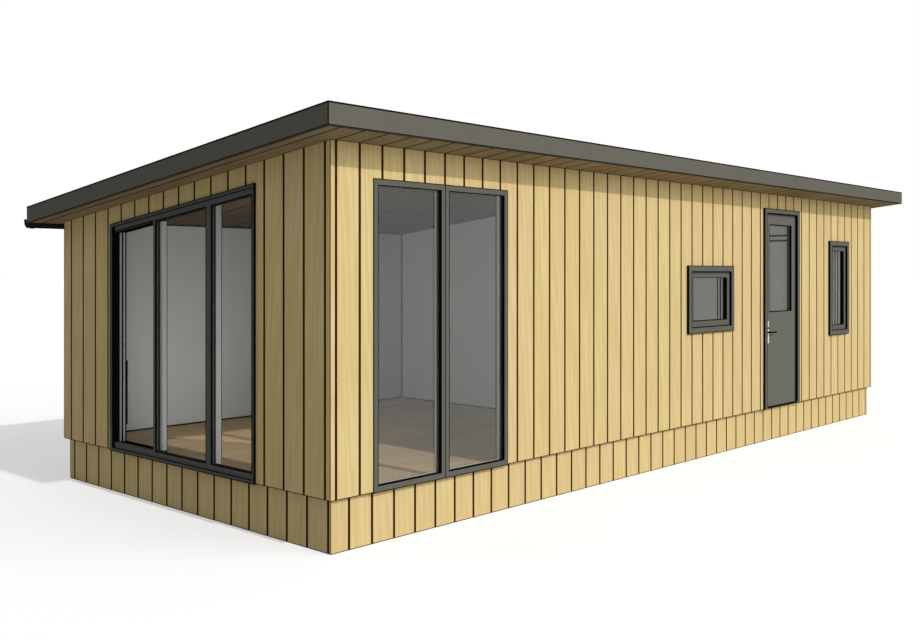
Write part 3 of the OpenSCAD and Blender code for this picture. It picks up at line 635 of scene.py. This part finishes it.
def lapped(name, sheet, lap):
    """Roof sheeting: a grey of its own for each sheet, soft clouds, a fine grit, and dark sides at the laps, which are
    painted shade of the laps' steps.
    """
    made, tree, shader = blank(name, Specular_IOR_Level=0.0)
    tone, face = point_value(tree, "tone"), point_value(tree, "face")
    cloud, grit = noise(tree, *SHEET_CLOUDS), noise(tree, *GRIT)
    greys = mixed(tree, spread(tree, tone, 0.0, TONE_SHARE), rgba(sheet), rgba(lap))
    clouded = mixed(tree, spread(tree, cloud, 0.0, CLOUD_SHARE), greys, rgba(lap))
    tree.links.new(mixed(tree, face, rgba(lap), clouded), shader.inputs["Base Color"])
    tree.links.new(spread(tree, cloud, *SHEET_ROUGHNESS), shader.inputs["Roughness"])
    bumped(tree, shader, grit, *SHEET_RELIEF)
    return made


# Depth of the walls' unpainted outer skin, of the front frames' outer half, and the margin round the end door's post
WALL_SKIN, FRAME_SKIN, POST_MARGIN = 0.02, 0.043, 0.002


def within(tree, axis, low, high):
    """One where an Object coordinate lies between two limits, else nought."""
    return both(tree, beyond(tree, axis, low), below(tree, axis, high))


def inside_room(tree):
    """One inside the walls' core, where the paint is."""
    across = within(tree, 0, LEFT + WALL_SKIN, RIGHT - WALL_SKIN)
    return both(tree, across, within(tree, 1, FRONT + WALL_SKIN, BACK - WALL_SKIN))


def behind_front_frames(tree):
    """One at the back of the front wall's frames."""
    return beyond(tree, 1, FRONT + FRAME_SKIN)


def end_post():
    """Limits of the end door's post on Y: it stands behind the joint of the fixed panels, where the track starts."""
    front, middle = solid_boxes("end_door_fixed_panels")
    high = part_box("end_door_track")[0].y
    return front[1][1] + middle[0][1] - high, high


def on_end_post(tree):
    """One on the post behind the end door's fixed panels."""
    low, high = end_post()
    behind = beyond(tree, 0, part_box("end_door_fixed_panels")[1].x - POST_MARGIN)
    return both(tree, behind, within(tree, 1, low - POST_MARGIN, high + POST_MARGIN))


def sliding_stiles(tree):
    """One on the upright parts of the sliding leaf, clear of its level foot rail and its raked head rail."""
    low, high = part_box("sliding_leaf")
    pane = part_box("sliding_pane")
    rail = pane[0].z - low.z
    head_rail = high.z - FALL * (pane[0].y - low.y) - pane[1].z
    raked = worked(tree, "MULTIPLY_ADD", object_axis(tree, 1), FALL, object_axis(tree, 2))
    under = worked(tree, "LESS_THAN", raked, high.z + FALL * low.y - head_rail)
    return both(tree, beyond(tree, 2, low.z + rail), under)


def make_finish(finish, name):
    """A finish as a material of that name, in the colours of the scene's settings."""
    hue = bpy.context.scene.chalet_colours
    makers = {
        "larch_boards": lambda: timber(name, hue.larch, hue.larch_warm, hue.larch_grain, 2, 0.62, hue.joint),
        "soffit_boards": lambda: timber(name, hue.soffit, hue.soffit_warm, hue.soffit_grain, 1, 0.65, hue.joint),
        "ceiling_boards": lambda: timber(name, hue.ceiling, hue.ceiling_warm, hue.ceiling_grain, 1, 0.65, hue.joint),
        "floor_planks": lambda: timber(name, hue.floor, hue.floor_warm, hue.floor_grain, 0, 0.5, hue.rough_grain),
        "rough_timber": lambda: timber(name, hue.rough, hue.rough, hue.rough_grain, 0, 0.8),
        "joint_shadow": lambda: paint(name, hue.joint, roughness=0.8),
        "wall_core": lambda: paint(name, hue.joint, hue.inner_white, inside_room, roughness=0.75),
        "inner_paint": lambda: paint(name, hue.inner_white, roughness=0.7),
        "lining_paint": lambda: paint(name, hue.inner_frame, roughness=0.6),
        "front_frames": lambda: paint(name, hue.frame_grey, hue.inner_frame, behind_front_frames),
        "end_frames": lambda: paint(name, hue.end_grey, hue.inner_frame, on_end_post),
        "end_paint": lambda: paint(name, hue.end_grey),
        "door_paint": lambda: paint(name, hue.leaf_grey),
        "leaf_paint": lambda: paint(name, hue.seal, hue.inner_frame, sliding_stiles),
        "fascia_paint": lambda: paint(name, hue.fascia_grey),
        "seal_and_shade_black": lambda: paint(name, hue.seal, roughness=0.7),
        "gutter_metal": lambda: paint(name, hue.gutter, roughness=0.6),
        # Black deck, seen in the gaps at the roof sheets' laps, where it is painted shade
        "black_deck_and_lap_shade": lambda: paint(name, hue.black, roughness=0.85),
        "roof_sheet": lambda: lapped(name, hue.membrane, hue.black),
        "window_glass": lambda: glass(name, hue.tint, 1.0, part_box("long_window_frames")[1].x),
        "end_glass": lambda: glass(name, hue.clear, 0.12),
        "bright_metal": lambda: paint(name, hue.bright, roughness=0.35, metallic=0.5, gloss=0.4),
        "black_metal": lambda: paint(name, hue.black),
    }
    return makers[finish]()


def finished(finish):
    """The material of a finish, made once and named apart from the packed materials."""
    name = "chalet_" + finish
    return bpy.data.materials.get(name) or make_finish(finish, name)


NODE_FINISHES = {
    "joint_shadow": ("plinth_front", "plinth_back", "plinth_left", "plinth_right", "ceiling_boards"),
    "rough_timber": ("bearers", "floor_joists", "floor_deck"),
    "wall_core": ("front_wall", "front_wall_over_door", "front_wall_far", "back_wall", "left_wall_front",
                  "left_wall_back", "left_wall_over_door", "right_wall"),
    "inner_paint": ("partition", "roof_panel"),
    "lining_paint": ("opening_linings",),
    "black_deck_and_lap_shade": ("roof_covering",),
    "fascia_paint": ("fascia_front", "fascia_back", "fascia_left", "fascia_right"),
    "gutter_metal": ("gutter", "gutter_brackets", "downpipe", "downpipe_clips"),
    "front_frames": ("long_window_frames", "window_casings", "window_sashes", "front_door_frame"),
    "door_paint": ("front_door_leaf",),
    "end_frames": ("end_door_frame", "end_door_fixed_panels"),
    "leaf_paint": ("sliding_leaf",),
    "window_glass": ("window_panes", "front_door_pane"),
    "end_glass": ("end_door_fixed_panes", "sliding_pane"),
    "bright_metal": ("front_door_plates", "front_door_frame_hinges", "front_door_leaf_hinges"),
    "black_metal": ("front_door_lever", "front_door_threshold", "end_door_track", "sliding_pull", "sliding_rollers"),
}


# Operators


class CHALET_OT_finish_nodes(bpy.types.Operator):
    """Gives every packed piece its finish"""

    bl_idname = "chalet.finish_nodes"
    bl_label = "Finish packed pieces"

    def execute(self, context):
        for finish, names in NODE_FINISHES.items():
            for name in names:
                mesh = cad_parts[name].data
                mesh.materials.clear()
                mesh.materials.append(finished(finish))
        return {"FINISHED"}


class CHALET_OT_wall_boards(bpy.types.Operator):
    """Clads the four walls with upright boards, cut round the openings"""

    bl_idname = "chalet.wall_boards"
    bl_label = "Wall boards"

    def execute(self, context):
        size = context.scene.chalet_boards
        long_edges = board_edges(LEFT, RIGHT, size.front_first, size.pitch)
        long_edges[[0, -1]] += (-size.thick, size.thick)
        end_edges = board_edges(FRONT, BACK, size.end_first, size.pitch)
        end_edges[[0, -1]] += (size.corner_gap, -size.corner_gap)
        front_boxes = [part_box("long_window_frames"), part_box("front_door_frame"), *solid_boxes("window_casings")]
        front_holes = [(low[0], high[0], level(low[2]), level(high[2])) for low, high in front_boxes]
        end_hole = (END_FRAME[0].y, END_FRAME[1].y, level(FLOOR), END_HEAD)
        end_head = (HEAD[0] - size.shadow_gap, HEAD[1])
        front_head = level(height(end_head, FRONT))
        back_head = level(height(end_head, BACK + size.thick))
        walls = (
            ("wall_boards_front", FRONT_PLANE, long_edges, front_head, front_holes),
            ("wall_boards_back", BACK_PLANE, long_edges, back_head, ()),
            ("wall_boards_left", LEFT_PLANE, end_edges, end_head, [end_hole]),
            ("wall_boards_right", RIGHT_PLANE, end_edges, end_head, ()),
        )
        for seed, (name, plane, edges, head, holes) in enumerate(walls, start=WALL_SEED):
            rows = cut_boards(edges, size.joint, size.edge, level(FLOOR + size.shadow_gap), head, holes)
            board_piece(name, rows, plane, size.thick, size.edge, "larch_boards", seed)
        return {"FINISHED"}


class CHALET_OT_plinth_boards(bpy.types.Operator):
    """Clads the set-back plinth with upright boards"""

    bl_idname = "chalet.plinth_boards"
    bl_label = "Plinth boards"

    def execute(self, context):
        size = context.scene.chalet_boards
        low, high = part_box("plinth_front")[0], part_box("plinth_back")[1]
        long_edges = board_edges(low.x, high.x, LEFT + size.plinth_front_first - low.x, size.pitch)
        long_edges[[0, -1]] += (-size.thick, size.thick)
        end_edges = board_edges(low.y, high.y, FRONT + size.plinth_end_first - low.y, size.pitch)
        sides = (
            ("plinth_boards_front", facing_front(low.y), long_edges),
            ("plinth_boards_back", facing_back(high.y), long_edges),
            ("plinth_boards_left", facing_left(low.x), end_edges),
            ("plinth_boards_right", facing_right(high.x), end_edges),
        )
        for seed, (name, plane, edges) in enumerate(sides, start=PLINTH_SEED):
            rows = cut_boards(edges, size.joint, size.edge, level(low.z + size.shadow_gap), level(FLOOR))
            board_piece(name, rows, plane, size.thick, size.edge, "larch_boards", seed)
        return {"FINISHED"}


class CHALET_OT_soffit_boards(bpy.types.Operator):
    """Lines the overhangs and the room's ceiling with boards that run up the slope"""

    bl_idname = "chalet.soffit_boards"
    bl_label = "Soffit and ceiling boards"

    def execute(self, context):
        size = context.scene.chalet_boards
        low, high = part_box("ceiling_boards")
        house = (LEFT, RIGHT, level(FRONT), level(BACK))
        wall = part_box("partition")
        partition = (wall[0].x, wall[1].x, level(wall[0].y), level(wall[1].y))
        fields = (
            ("soffit_boards", "soffit_boards", low.x, high.x, low.y, high.y, [house]),
            ("ceiling_lining", "ceiling_boards", IN_LEFT, IN_RIGHT, IN_FRONT, IN_BACK, [partition]),
        )
        for seed, (name, finish, left, right, front, back, holes) in enumerate(fields, start=SOFFIT_SEED):
            edges = board_edges(left, right, (LEFT + size.front_first - left) % size.pitch, size.pitch)
            rows = cut_boards(edges, size.soffit_joint, size.edge, level(front), level(back), holes)
            board_piece(name, rows, SOFFIT_PLANE, size.soffit_thick, size.edge, finish, seed)
        return {"FINISHED"}


class CHALET_OT_floor_planks(bpy.types.Operator):
    """Lays floor planks along the house, round the partition"""

    bl_idname = "chalet.floor_planks"
    bl_label = "Floor planks"

    def execute(self, context):
        size = context.scene.chalet_boards
        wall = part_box("partition")
        hole = (wall[0].y, wall[1].y, level(wall[0].x), level(wall[1].x))
        edges = board_edges(IN_FRONT, IN_BACK, size.plank, size.plank)
        hairline = size.plank_thick / 2
        rows = cut_boards(edges, hairline, hairline, level(IN_LEFT), level(IN_RIGHT), [hole])
        board_piece("floor_planks", rows, FLOOR_PLANE, size.plank_thick, hairline, "floor_planks",
                    FLOOR_SEED)
        return {"FINISHED"}


class CHALET_OT_roof_skin(bpy.types.Operator):
    """Covers the roof with sheets and painted shade at their laps, an edge cap and the drip strip at the fascia's foot
    """

    bl_idname = "chalet.roof_skin"
    bl_label = "Roof sheets and edge trims"

    def execute(self, context):
        size, trim = context.scene.chalet_boards, context.scene.chalet_trims
        low, high = EAVES
        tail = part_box("fascia_left")[1].y
        edges = board_edges(low.x + trim.cap_width, high.x - trim.cap_width, size.sheet, size.sheet)
        # The gap at each lap shows the black deck: painted shade of the lap's step, with the sheets' dark sides
        lap, eased = 4 * size.sheet_thick, size.sheet_thick / 2
        rows = cut_boards(edges, lap, eased, level(low.y + trim.cap_width), level(high.y - trim.cap_width))
        board_piece("roof_sheets", rows, ROOF_PLANE, size.sheet_thick, eased, "roof_sheet", ROOF_SEED)
        metal = trim.sheet_metal
        path = [(low.x, tail), (low.x, low.y), (high.x, low.y), (high.x, tail)]
        back = [(high.x - trim.cap_width, high.y), (low.x + trim.cap_width, high.y)]
        cap = [(metal, -trim.cap), (metal, metal), (-trim.cap_width, metal), (-trim.cap_width, 0), (0, 0),
               (0, -trim.cap)]
        caps = [swept_trim(path, cap, ROOF_PLANE, closed=False), swept_trim(back, cap, ROOF_PLANE, closed=False)]
        piece("roof_edge_cap", joined(caps), "black_metal")
        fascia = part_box("fascia_front")
        bead = [(trim.line, 0), (trim.line, trim.line_rise), (-trim.line_rise, trim.line_rise),
                (-trim.line_rise, -trim.line), (0, -trim.line), (0, 0)]
        fascia_face = facing_front(low.y)
        foot, top = fascia[0].z, fascia[1].z - trim.cap
        corners = [swept_trim([(low.x, foot), (low.x, top)], bead, fascia_face, closed=False),
                   swept_trim([(high.x, top), (high.x, foot)], bead, fascia_face, closed=False)]
        piece("fascia_corner_beads", joined(corners), "black_metal")
        drip = bar_profile(0, metal, -trim.drip, 0)
        strip = swept_trim(path, drip, SOFFIT_PLANE, closed=False)
        piece("fascia_drip_strip", strip, "black_metal")
        return {"FINISHED"}


class CHALET_OT_window_trims(bpy.types.Operator):
    """Seals the front wall's windows, paints shade in black up their reveals and outer sides, and gives the cased ones
    an inner frame
    """

    bl_idname = "chalet.window_trims"
    bl_label = "Window seals and painted shade"

    def execute(self, context):
        trim = context.scene.chalet_trims
        frames, casings, sashes = (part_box(name) for name in ("long_window_frames", "window_casings", "window_sashes"))
        seals_and_shades, shades_and_lines, lines, inner_frames = [], [], [], []
        # Each pane's black section seals the glass; its leg up the reveal is painted shade
        for box in solid_boxes("window_panes"):
            around = frames if box[0][0] < frames[1].x else sashes
            profile = seal_and_shade_profile(trim, box[0][1] - around[0].y, trim.line / 2)
            seals_and_shades.append(swept_trim(front_outline(box), profile, facing_front(box[0][1])))
        for box in solid_boxes("window_sashes"):
            profile = seal_and_shade_profile(trim, box[0][1] - casings[0].y, trim.line)
            seals_and_shades.append(swept_trim(front_outline(box), profile, facing_front(box[0][1])))
        # Black up the casings' outer sides is painted shade
        for box in solid_boxes("window_casings"):
            profile = side_shade_profile(trim, FRONT - box[0][1], trim.line / 2)
            shades_and_lines.append(swept_trim(front_outline(box), profile, FRONT_PLANE))
        for box in solid_boxes("long_window_frames"):
            proud = FRONT - box[0][1]
            profile = bar_profile(-trim.line / 2, 0, proud, proud + trim.line_rise)
            shades_and_lines.append(swept_trim(front_outline(box), profile, FRONT_PLANE))
        # Black on the long window frame's outer sides is painted shade
        profile = bar_profile(0, trim.side_shade, 0, FRONT - frames[0].y)
        shades_and_lines.append(swept_trim(front_outline(frames), profile, FRONT_PLANE))
        uprights = [box for box in solid_boxes("opening_linings") if box[1][2] - box[0][2] > box[1][0] - box[0][0]]
        low, high = max(box for box in uprights if box[0][0] < frames[1].x)
        broad = 2 * trim.line
        for front in (low[1], high[1] - broad):
            run = [(front, low[2] + trim.lip), (front, high[2] - trim.lip)]
            profile = bar_profile(0, broad, 0, trim.line_rise)
            lines.append(swept_trim(run, profile, facing_left(low[0]), closed=False))
        sash_back, depth = facing_back(low[1]), high[1] - low[1]
        for box in (pane for pane in solid_boxes("window_panes") if pane[0][0] > frames[1].x):
            path = front_outline(box)
            width = box[0][0] - max(upright[1][0] for upright in uprights if upright[1][0] < box[0][0])
            inner_frames.append(swept_trim(path, bar_profile(0, width, 0, depth), sash_back))
            for front in (0, depth - broad):
                lines.append(swept_trim(path, bar_profile(-trim.line_rise, 0, front, front + broad), sash_back))
        piece("window_inner_frames", joined(inner_frames), "lining_paint")
        black_piece("window_lining_lines", lines)
        black_piece("window_seals_and_reveal_shade", seals_and_shades)
        black_piece("window_side_shade_and_lines", shades_and_lines)
        return {"FINISHED"}


class CHALET_OT_front_door_trims(bpy.types.Operator):
    """Seals the front door's glass and the gap by its leaf, paints shade in black up its reveals and the frame's outer
    sides, and bands its handle plates
    """

    bl_idname = "chalet.front_door_trims"
    bl_label = "Front door seals"

    def execute(self, context):
        trim = context.scene.chalet_trims
        pane, leaf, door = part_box("front_door_pane"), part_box("front_door_leaf"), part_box("front_door_frame")
        path = front_outline(pane)
        # Black sections seal the pane; their legs up the reveals are painted shade
        seals_and_shades = [
            swept_trim(path, seal_and_shade_profile(trim, pane[0].y - leaf[0].y, trim.line), facing_front(pane[0].y)),
            swept_trim(path, seal_and_shade_profile(trim, leaf[1].y - pane[1].y, trim.line), facing_back(pane[1].y)),
        ]
        black_piece("front_door_seals_and_reveal_shade", seals_and_shades, "front_door")
        bands, lever = [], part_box("front_door_lever")
        band = bar_profile(-trim.plate_band / 2, trim.plate_band / 2, 0, trim.line_rise)
        for low, high in solid_boxes("front_door_plates"):
            plate_face = facing_front(low[1]) if low[1] < leaf[0].y else facing_back(high[1])
            for up in (high[2] - trim.plate_gap, (lever[0].z + lever[1].z) / 2):
                bands.append(swept_trim([(low[0], up), (high[0], up)], band, plate_face, closed=False))
        piece("front_door_plate_bands", joined(bands), "black_metal", body="front_door")
        # Black up the frame's outer sides is painted shade
        path = [(door[1].x, FLOOR), (door[1].x, door[1].z), (door[0].x, door[1].z), (door[0].x, FLOOR)]
        proud = FRONT - door[0].y
        shades_and_lines = [swept_trim(path, side_shade_profile(trim, proud, trim.line / 2), FRONT_PLANE, closed=False)]
        low, high, top = leaf[0].x + trim.door_lap, leaf[1].x - trim.door_lap, leaf[1].z - trim.door_lap
        path = [(high, leaf[0].z), (high, top), (low, top), (low, leaf[0].z)]
        depth = leaf[0].y - door[0].y
        # Seal under the stop, with a black leg up the stop's side and a line over the frame's face: the leg is painted
        # shade in the gap by the leaf
        section = [(0, trim.door_gap), (0, depth), (trim.line, depth), (trim.line, depth + trim.line_rise),
                   (-trim.shade_liner, depth + trim.line_rise), (-trim.shade_liner, 2 * trim.door_gap),
                   (-trim.door_seal, 2 * trim.door_gap), (-trim.door_seal, trim.door_gap)]
        shades_and_lines.append(swept_trim(path, section, facing_front(leaf[0].y), closed=False))
        black_piece("front_door_frame_shade_and_seal", shades_and_lines)
        return {"FINISHED"}


class CHALET_OT_end_door_trims(bpy.types.Operator):
    """Lips the end door's raked frame, paints shade in black on its outer sides and deep reveal, covers the sliding
    leaf's head and seals the panes, with painted shade up their reveals
    """

    bl_idname = "chalet.end_door_trims"
    bl_label = "End door lip and seals"

    def execute(self, context):
        trim = context.scene.chalet_trims
        frame_path = outline(END_FRAME[0].y, END_FRAME[1].y, FLOOR, END_HEAD)
        proud = LEFT - END_FRAME[0].x
        lip = bar_profile(-trim.lip, 0, proud, proud + trim.lip)
        piece("end_door_lip", swept_trim(frame_path, lip, LEFT_PLANE), "end_paint")
        # Black up the frame's outer sides is painted shade
        black_piece("end_door_side_shade",
               [swept_trim(frame_path, side_shade_profile(trim, proud + trim.lip, trim.line / 2), LEFT_PLANE)])
        panels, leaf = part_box("end_door_fixed_panels"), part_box("sliding_leaf")
        face = panels[0].y - END_FRAME[0].y
        low, high, foot, head = END_FRAME[0].y + face, END_FRAME[1].y - face, FLOOR + face, (END_HEAD[0] - face, -FALL)
        floor_face = LEFT - panels[0].x
        # The black reveal sheet and the jamb cover are painted shade in the deep reveal round the set-back panels
        reveal = bar_profile(-trim.shade_liner, 0, floor_face, proud - trim.line_rise)
        jamb = bar_profile(-trim.jamb, 0, floor_face, floor_face + trim.line_rise)
        edge = bar_profile(0, trim.line, 0, trim.line_rise)
        post, post_back = end_post(), panels[1].x + trim.post_depth - trim.line
        reveals = [
            swept_trim(outline(low, high, foot, head), reveal, LEFT_PLANE),
            swept_trim([(high, foot), (high, height(head, high))], jamb, LEFT_PLANE, closed=False),
            swept_trim([(post_back, foot), (post_back, height(head, post[1]))], edge, facing_front(post[0]),
                       closed=False),
        ]
        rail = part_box("end_door_fixed_panes")[0].z - panels[0].z
        start, stop = panels[1].y + trim.line_rise, high - trim.jamb
        hairline = trim.line_rise / 4
        cover_foot, line_head = (head[0] - rail, -FALL), (head[0] - rail + 2 * trim.line, -FALL)
        cover = np.array([(start, stop, *cover_foot, *head, trim.line_rise, trim.line_rise, 0)])
        cover_mesh = board_mesh(cover, facing_left(panels[0].x + trim.cover), trim.cover, trim.line_rise)
        piece("end_door_head_cover", cover_mesh, "end_paint")
        foot_line = np.array([(start, stop, *cover_foot, *line_head, hairline, hairline, 0)])
        reveals.append(board_mesh(foot_line, facing_left(panels[0].x), trim.line_rise, hairline))
        run = [(panels[0].x, foot + rail), (panels[0].x, height(cover_foot, stop))]
        depth = bar_profile(0, panels[1].x - panels[0].x, 0, trim.line_rise)
        reveals.append(swept_trim(run, depth, facing_front(stop), closed=False))
        black_piece("end_door_reveal_shade_and_lines", reveals)
        groups = (("end_door_seals_and_reveal_shade", "end_door_fixed_panes", panels, "house"),
                  ("sliding_seals_and_reveal_shade", "sliding_pane", leaf, "sliding_door"))
        for name, panes, around, body in groups:
            seals_and_shades = []
            # Black sections seal the panes; their legs up the reveals are painted shade
            for low, high in solid_boxes(panes):
                path = outline(low[1], high[1], low[2], (high[2] + FALL * low[1], -FALL))
                outer = seal_and_shade_profile(trim, low[0] - around[0].x, trim.line)
                inner = seal_and_shade_profile(trim, around[1].x - high[0], 0.0)
                seals_and_shades += [swept_trim(path, outer, facing_left(low[0])), swept_trim(path, inner, facing_right(high[0]))]
            if body == "sliding_door":
                back = leaf[1].x - trim.line
                run = [(back, leaf[0].z), (back, leaf[1].z - 2 * trim.line)]
                seals_and_shades.append(swept_trim(run, edge, facing_front(leaf[0].y), closed=False))
            black_piece(name, seals_and_shades, body)
        return {"FINISHED"}


class CHALET_OT_room_beads(bpy.types.Operator):
    """Runs shadow beads round the room at ceiling and floor, up its corner and along the right end wall"""

    bl_idname = "chalet.room_beads"
    bl_label = "Room beads"

    def execute(self, context):
        trim, size = context.scene.chalet_trims, context.scene.chalet_boards
        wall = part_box("partition")
        corner = [(IN_LEFT, IN_BACK), (wall[0].x, IN_BACK), (wall[0].x, wall[0].y)]
        foot_path = [(IN_LEFT, END_FRAME[1].y), *corner]
        head_path = [(IN_LEFT, IN_FRONT), *corner]
        plan = ((0, 0, FLOOR), (1, 0, 0), (0, 1, 0), (0, 0, 1))
        foot = bar_profile(0, trim.bead / 2, size.plank_thick, size.plank_thick + trim.bead)
        head = bar_profile(0, trim.bead / 2, size.soffit_thick, size.soffit_thick + trim.bead)
        beads = [swept_trim(foot_path, foot, plan, closed=False),
                 swept_trim(head_path, head, SOFFIT_PLANE, closed=False)]
        upright_path = [(-IN_BACK, FLOOR), (-IN_BACK, height(HEAD, IN_BACK) - size.soffit_thick)]
        upright = ((wall[0].x, 0, 0), (0, -1, 0), (0, 0, 1), (-1, 0, 0))
        inner_end = ((IN_RIGHT, 0, 0), (0, -1, 0), (0, 0, 1), (-1, 0, 0))
        beads.append(swept_trim(upright_path, bar_profile(0, trim.bead, 0, trim.bead / 2), upright, closed=False))
        rail = bar_profile(-trim.bead / 2, trim.bead, 0, trim.bead / 2)
        beads += [swept_trim([(IN_FRONT, up), (IN_BACK, up)], rail, inner_end, closed=False)
                  for up in (FLOOR + trim.rail_foot, FLOOR + trim.rail_head)]
        black_piece("room_beads", beads)
        return {"FINISHED"}


class CHALET_OT_stage(bpy.types.Operator):
    """Makes the pale floor, the light and the camera"""

    bl_idname = "chalet.stage"
    bl_label = "Stage"

    def execute(self, context):
        make_floor()
        make_light(context.scene.chalet_stage)
        make_camera(context.scene.chalet_stage)
        context.scene.view_settings.view_transform = "Standard"
        return {"FINISHED"}


def seen_directly(tree):
    """One for rays from the camera, from gloss or through glass."""
    path = node(tree, "ShaderNodeLightPath").outputs
    seen = path["Is Camera Ray"]
    for other in ("Is Glossy Ray", "Is Transmission Ray"):
        seen = worked(tree, "MAXIMUM", seen, path[other])
    return seen


# Stage floor: inner and outer radius, rings, points on a ring, depth, bounce on the house, own look and own glow
GROUND_RADII, GROUND_RINGS, GROUND_POINTS, GROUND_DEPTH = (1.0, 400.0), 24, 96, -0.001
GROUND_BOUNCE, GROUND_LOOK, GROUND_GLOW = 0.50, 0.90, 0.36
# Soft lamps in the rooms: share of the room's depth, height, way in from the wall, way up and direction
LAMP_SHARE, LAMP_HEIGHT, LAMP_IN, LAMP_UP, LAMP_TRAVEL = 0.8, 1.6, 0.7, 1.0, (1.0, 0.4, 0.5)
SKY = (0.95, 1.0, 1.05, 1.0)


def shown_apart(tree, output, lighting, look):
    """Output that lights the scene with one shader and shows another to the eye."""
    shown = node(tree, "ShaderNodeMixShader", {0: seen_directly(tree), 1: lighting.outputs[0], 2: look.outputs[0]})
    tree.links.new(shown.outputs[0], tree.nodes[output].inputs["Surface"])


def make_floor():
    """A round floor: rings at growing radius, each point at radius times the cosine and sine of its angle."""
    radius = np.geomspace(*GROUND_RADII, GROUND_RINGS)
    around = np.linspace(0, 2 * math.pi, GROUND_POINTS, endpoint=False)
    rim = np.stack([np.outer(radius, np.cos(around)), np.outer(radius, np.sin(around))], axis=-1).reshape(-1, 2)
    points = np.concatenate([rim, np.full((len(rim), 1), GROUND_DEPTH)], axis=1)
    ring, turn = np.meshgrid(np.arange(GROUND_RINGS - 1), np.arange(GROUND_POINTS), indexing="ij")
    after = (turn + 1) % GROUND_POINTS
    here, there = ring * GROUND_POINTS, (ring + 1) * GROUND_POINTS
    quads = np.stack([here + turn, there + turn, there + after, here + after], axis=-1).reshape(-1, 4)
    mesh = bpy.data.meshes.new("stage_floor")
    mesh.from_pydata(points.tolist(), [], [*quads.tolist(), list(range(GROUND_POINTS))])
    made, tree, shader = blank("stage_floor", Base_Color=grey(GROUND_BOUNCE), Roughness=0.9, Specular_IOR_Level=0.0)
    pale = node(tree, "ShaderNodeBsdfDiffuse", {"Color": grey(GROUND_LOOK)})
    glow = node(tree, "ShaderNodeEmission", {"Color": grey(1.0), "Strength": GROUND_GLOW})
    lifted = node(tree, "ShaderNodeAddShader", {0: pale.outputs[0], 1: glow.outputs[0]})
    shown_apart(tree, "Material Output", shader, lifted)
    mesh.materials.append(made)
    floor = linked("stage_floor", mesh)


def make_light(stage):
    """Sun and broad fill on the front wall, a soft lamp in each room, and a sky that looks white behind the house."""
    sunward = (math.sin(stage.sun_turn), math.cos(stage.sun_turn), -math.tan(stage.sun_height))
    lamps = (("sun", stage.sun_power, stage.sun_size, sunward),
             ("fill", stage.fill_power, stage.fill_size, stage.fill_travel))
    for name, power, size, travel in lamps:
        lamp = bpy.data.lights.new(name, "SUN")
        lamp.energy = power
        lamp.angle = size
        made = linked(name, lamp)
        made.rotation_euler = Vector(travel).to_track_quat("-Z", "Y").to_euler()
        made.visible_glossy = False
    rooms = (("room", stage.room_power, IN_LEFT), ("rear", stage.rear_power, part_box("partition")[1].x))
    for name, power, wall in rooms:
        lamp = bpy.data.lights.new(name, "AREA")
        lamp.shape = "RECTANGLE"
        lamp.size, lamp.size_y = LAMP_SHARE * (IN_BACK - IN_FRONT), LAMP_HEIGHT
        lamp.energy = power
        made = linked(name, lamp)
        made.location = (wall + LAMP_IN, (IN_FRONT + IN_BACK) / 2, FLOOR + LAMP_UP)
        made.rotation_euler = Vector(LAMP_TRAVEL).to_track_quat("-Z", "Z").to_euler()
        made.visible_camera = made.visible_glossy = False
    world = bpy.data.worlds.new("sky")
    world.use_nodes = True
    tree = world.node_tree
    sky = tree.nodes["Background"]
    sky.inputs["Color"].default_value = SKY
    sky.inputs["Strength"].default_value = stage.sky_power
    white = node(tree, "ShaderNodeBackground", {"Color": grey(1.0), "Strength": 1.0})
    shown_apart(tree, "World Output", sky, white)
    bpy.context.scene.world = world


def make_camera(stage):
    """Level camera at the photo's angle, shifted to its framing."""
    data = bpy.data.cameras.new("camera")
    data.sensor_width = 36.0
    data.lens = stage.lens
    data.shift_x, data.shift_y = stage.shift
    data.clip_end = 1000.0
    camera = linked("camera", data)
    camera.location = stage.camera_place
    camera.rotation_euler = (math.pi / 2, 0.0, -stage.camera_turn)
    bpy.context.scene.camera = camera


class CHALET_PT_panel(bpy.types.Panel):
    """Lists the sizes, colours and steps of the chalet"""

    bl_idname = "CHALET_PT_panel"
    bl_label = "Chalet"
    bl_space_type = "VIEW_3D"
    bl_region_type = "UI"
    bl_category = "Chalet"

    def draw(self, context):
        for name, group in SETTINGS.items():
            box = self.layout.box()
            box.label(text=group.__doc__)
            for key in group.__annotations__:
                box.prop(getattr(context.scene, name), key)
        for step in STEPS:
            self.layout.operator(step.bl_idname)


SETTINGS = {
    "chalet_boards": ChaletBoardSizes,
    "chalet_trims": ChaletTrimSizes,
    "chalet_colours": ChaletColours,
    "chalet_stage": ChaletStage,
}
STEPS = (
    CHALET_OT_finish_nodes, CHALET_OT_wall_boards, CHALET_OT_plinth_boards, CHALET_OT_soffit_boards,
    CHALET_OT_floor_planks, CHALET_OT_roof_skin, CHALET_OT_window_trims, CHALET_OT_front_door_trims,
    CHALET_OT_end_door_trims, CHALET_OT_room_beads, CHALET_OT_stage,
)


def register():
    for item in (*SETTINGS.values(), *STEPS, CHALET_PT_panel):
        bpy.utils.register_class(item)
    for name, group in SETTINGS.items():
        setattr(bpy.types.Scene, name, bpy.props.PointerProperty(type=group))


def unregister():
    for name in SETTINGS:
        delattr(bpy.types.Scene, name)
    for item in reversed((*SETTINGS.values(), *STEPS, CHALET_PT_panel)):
        bpy.utils.unregister_class(item)


def main():
    """Registers the add-on and runs its steps in order."""
    register()
    for step in STEPS:
        group, name = step.bl_idname.split(".")
        getattr(getattr(bpy.ops, group), name)()


if __name__ == "__main__":
    main()
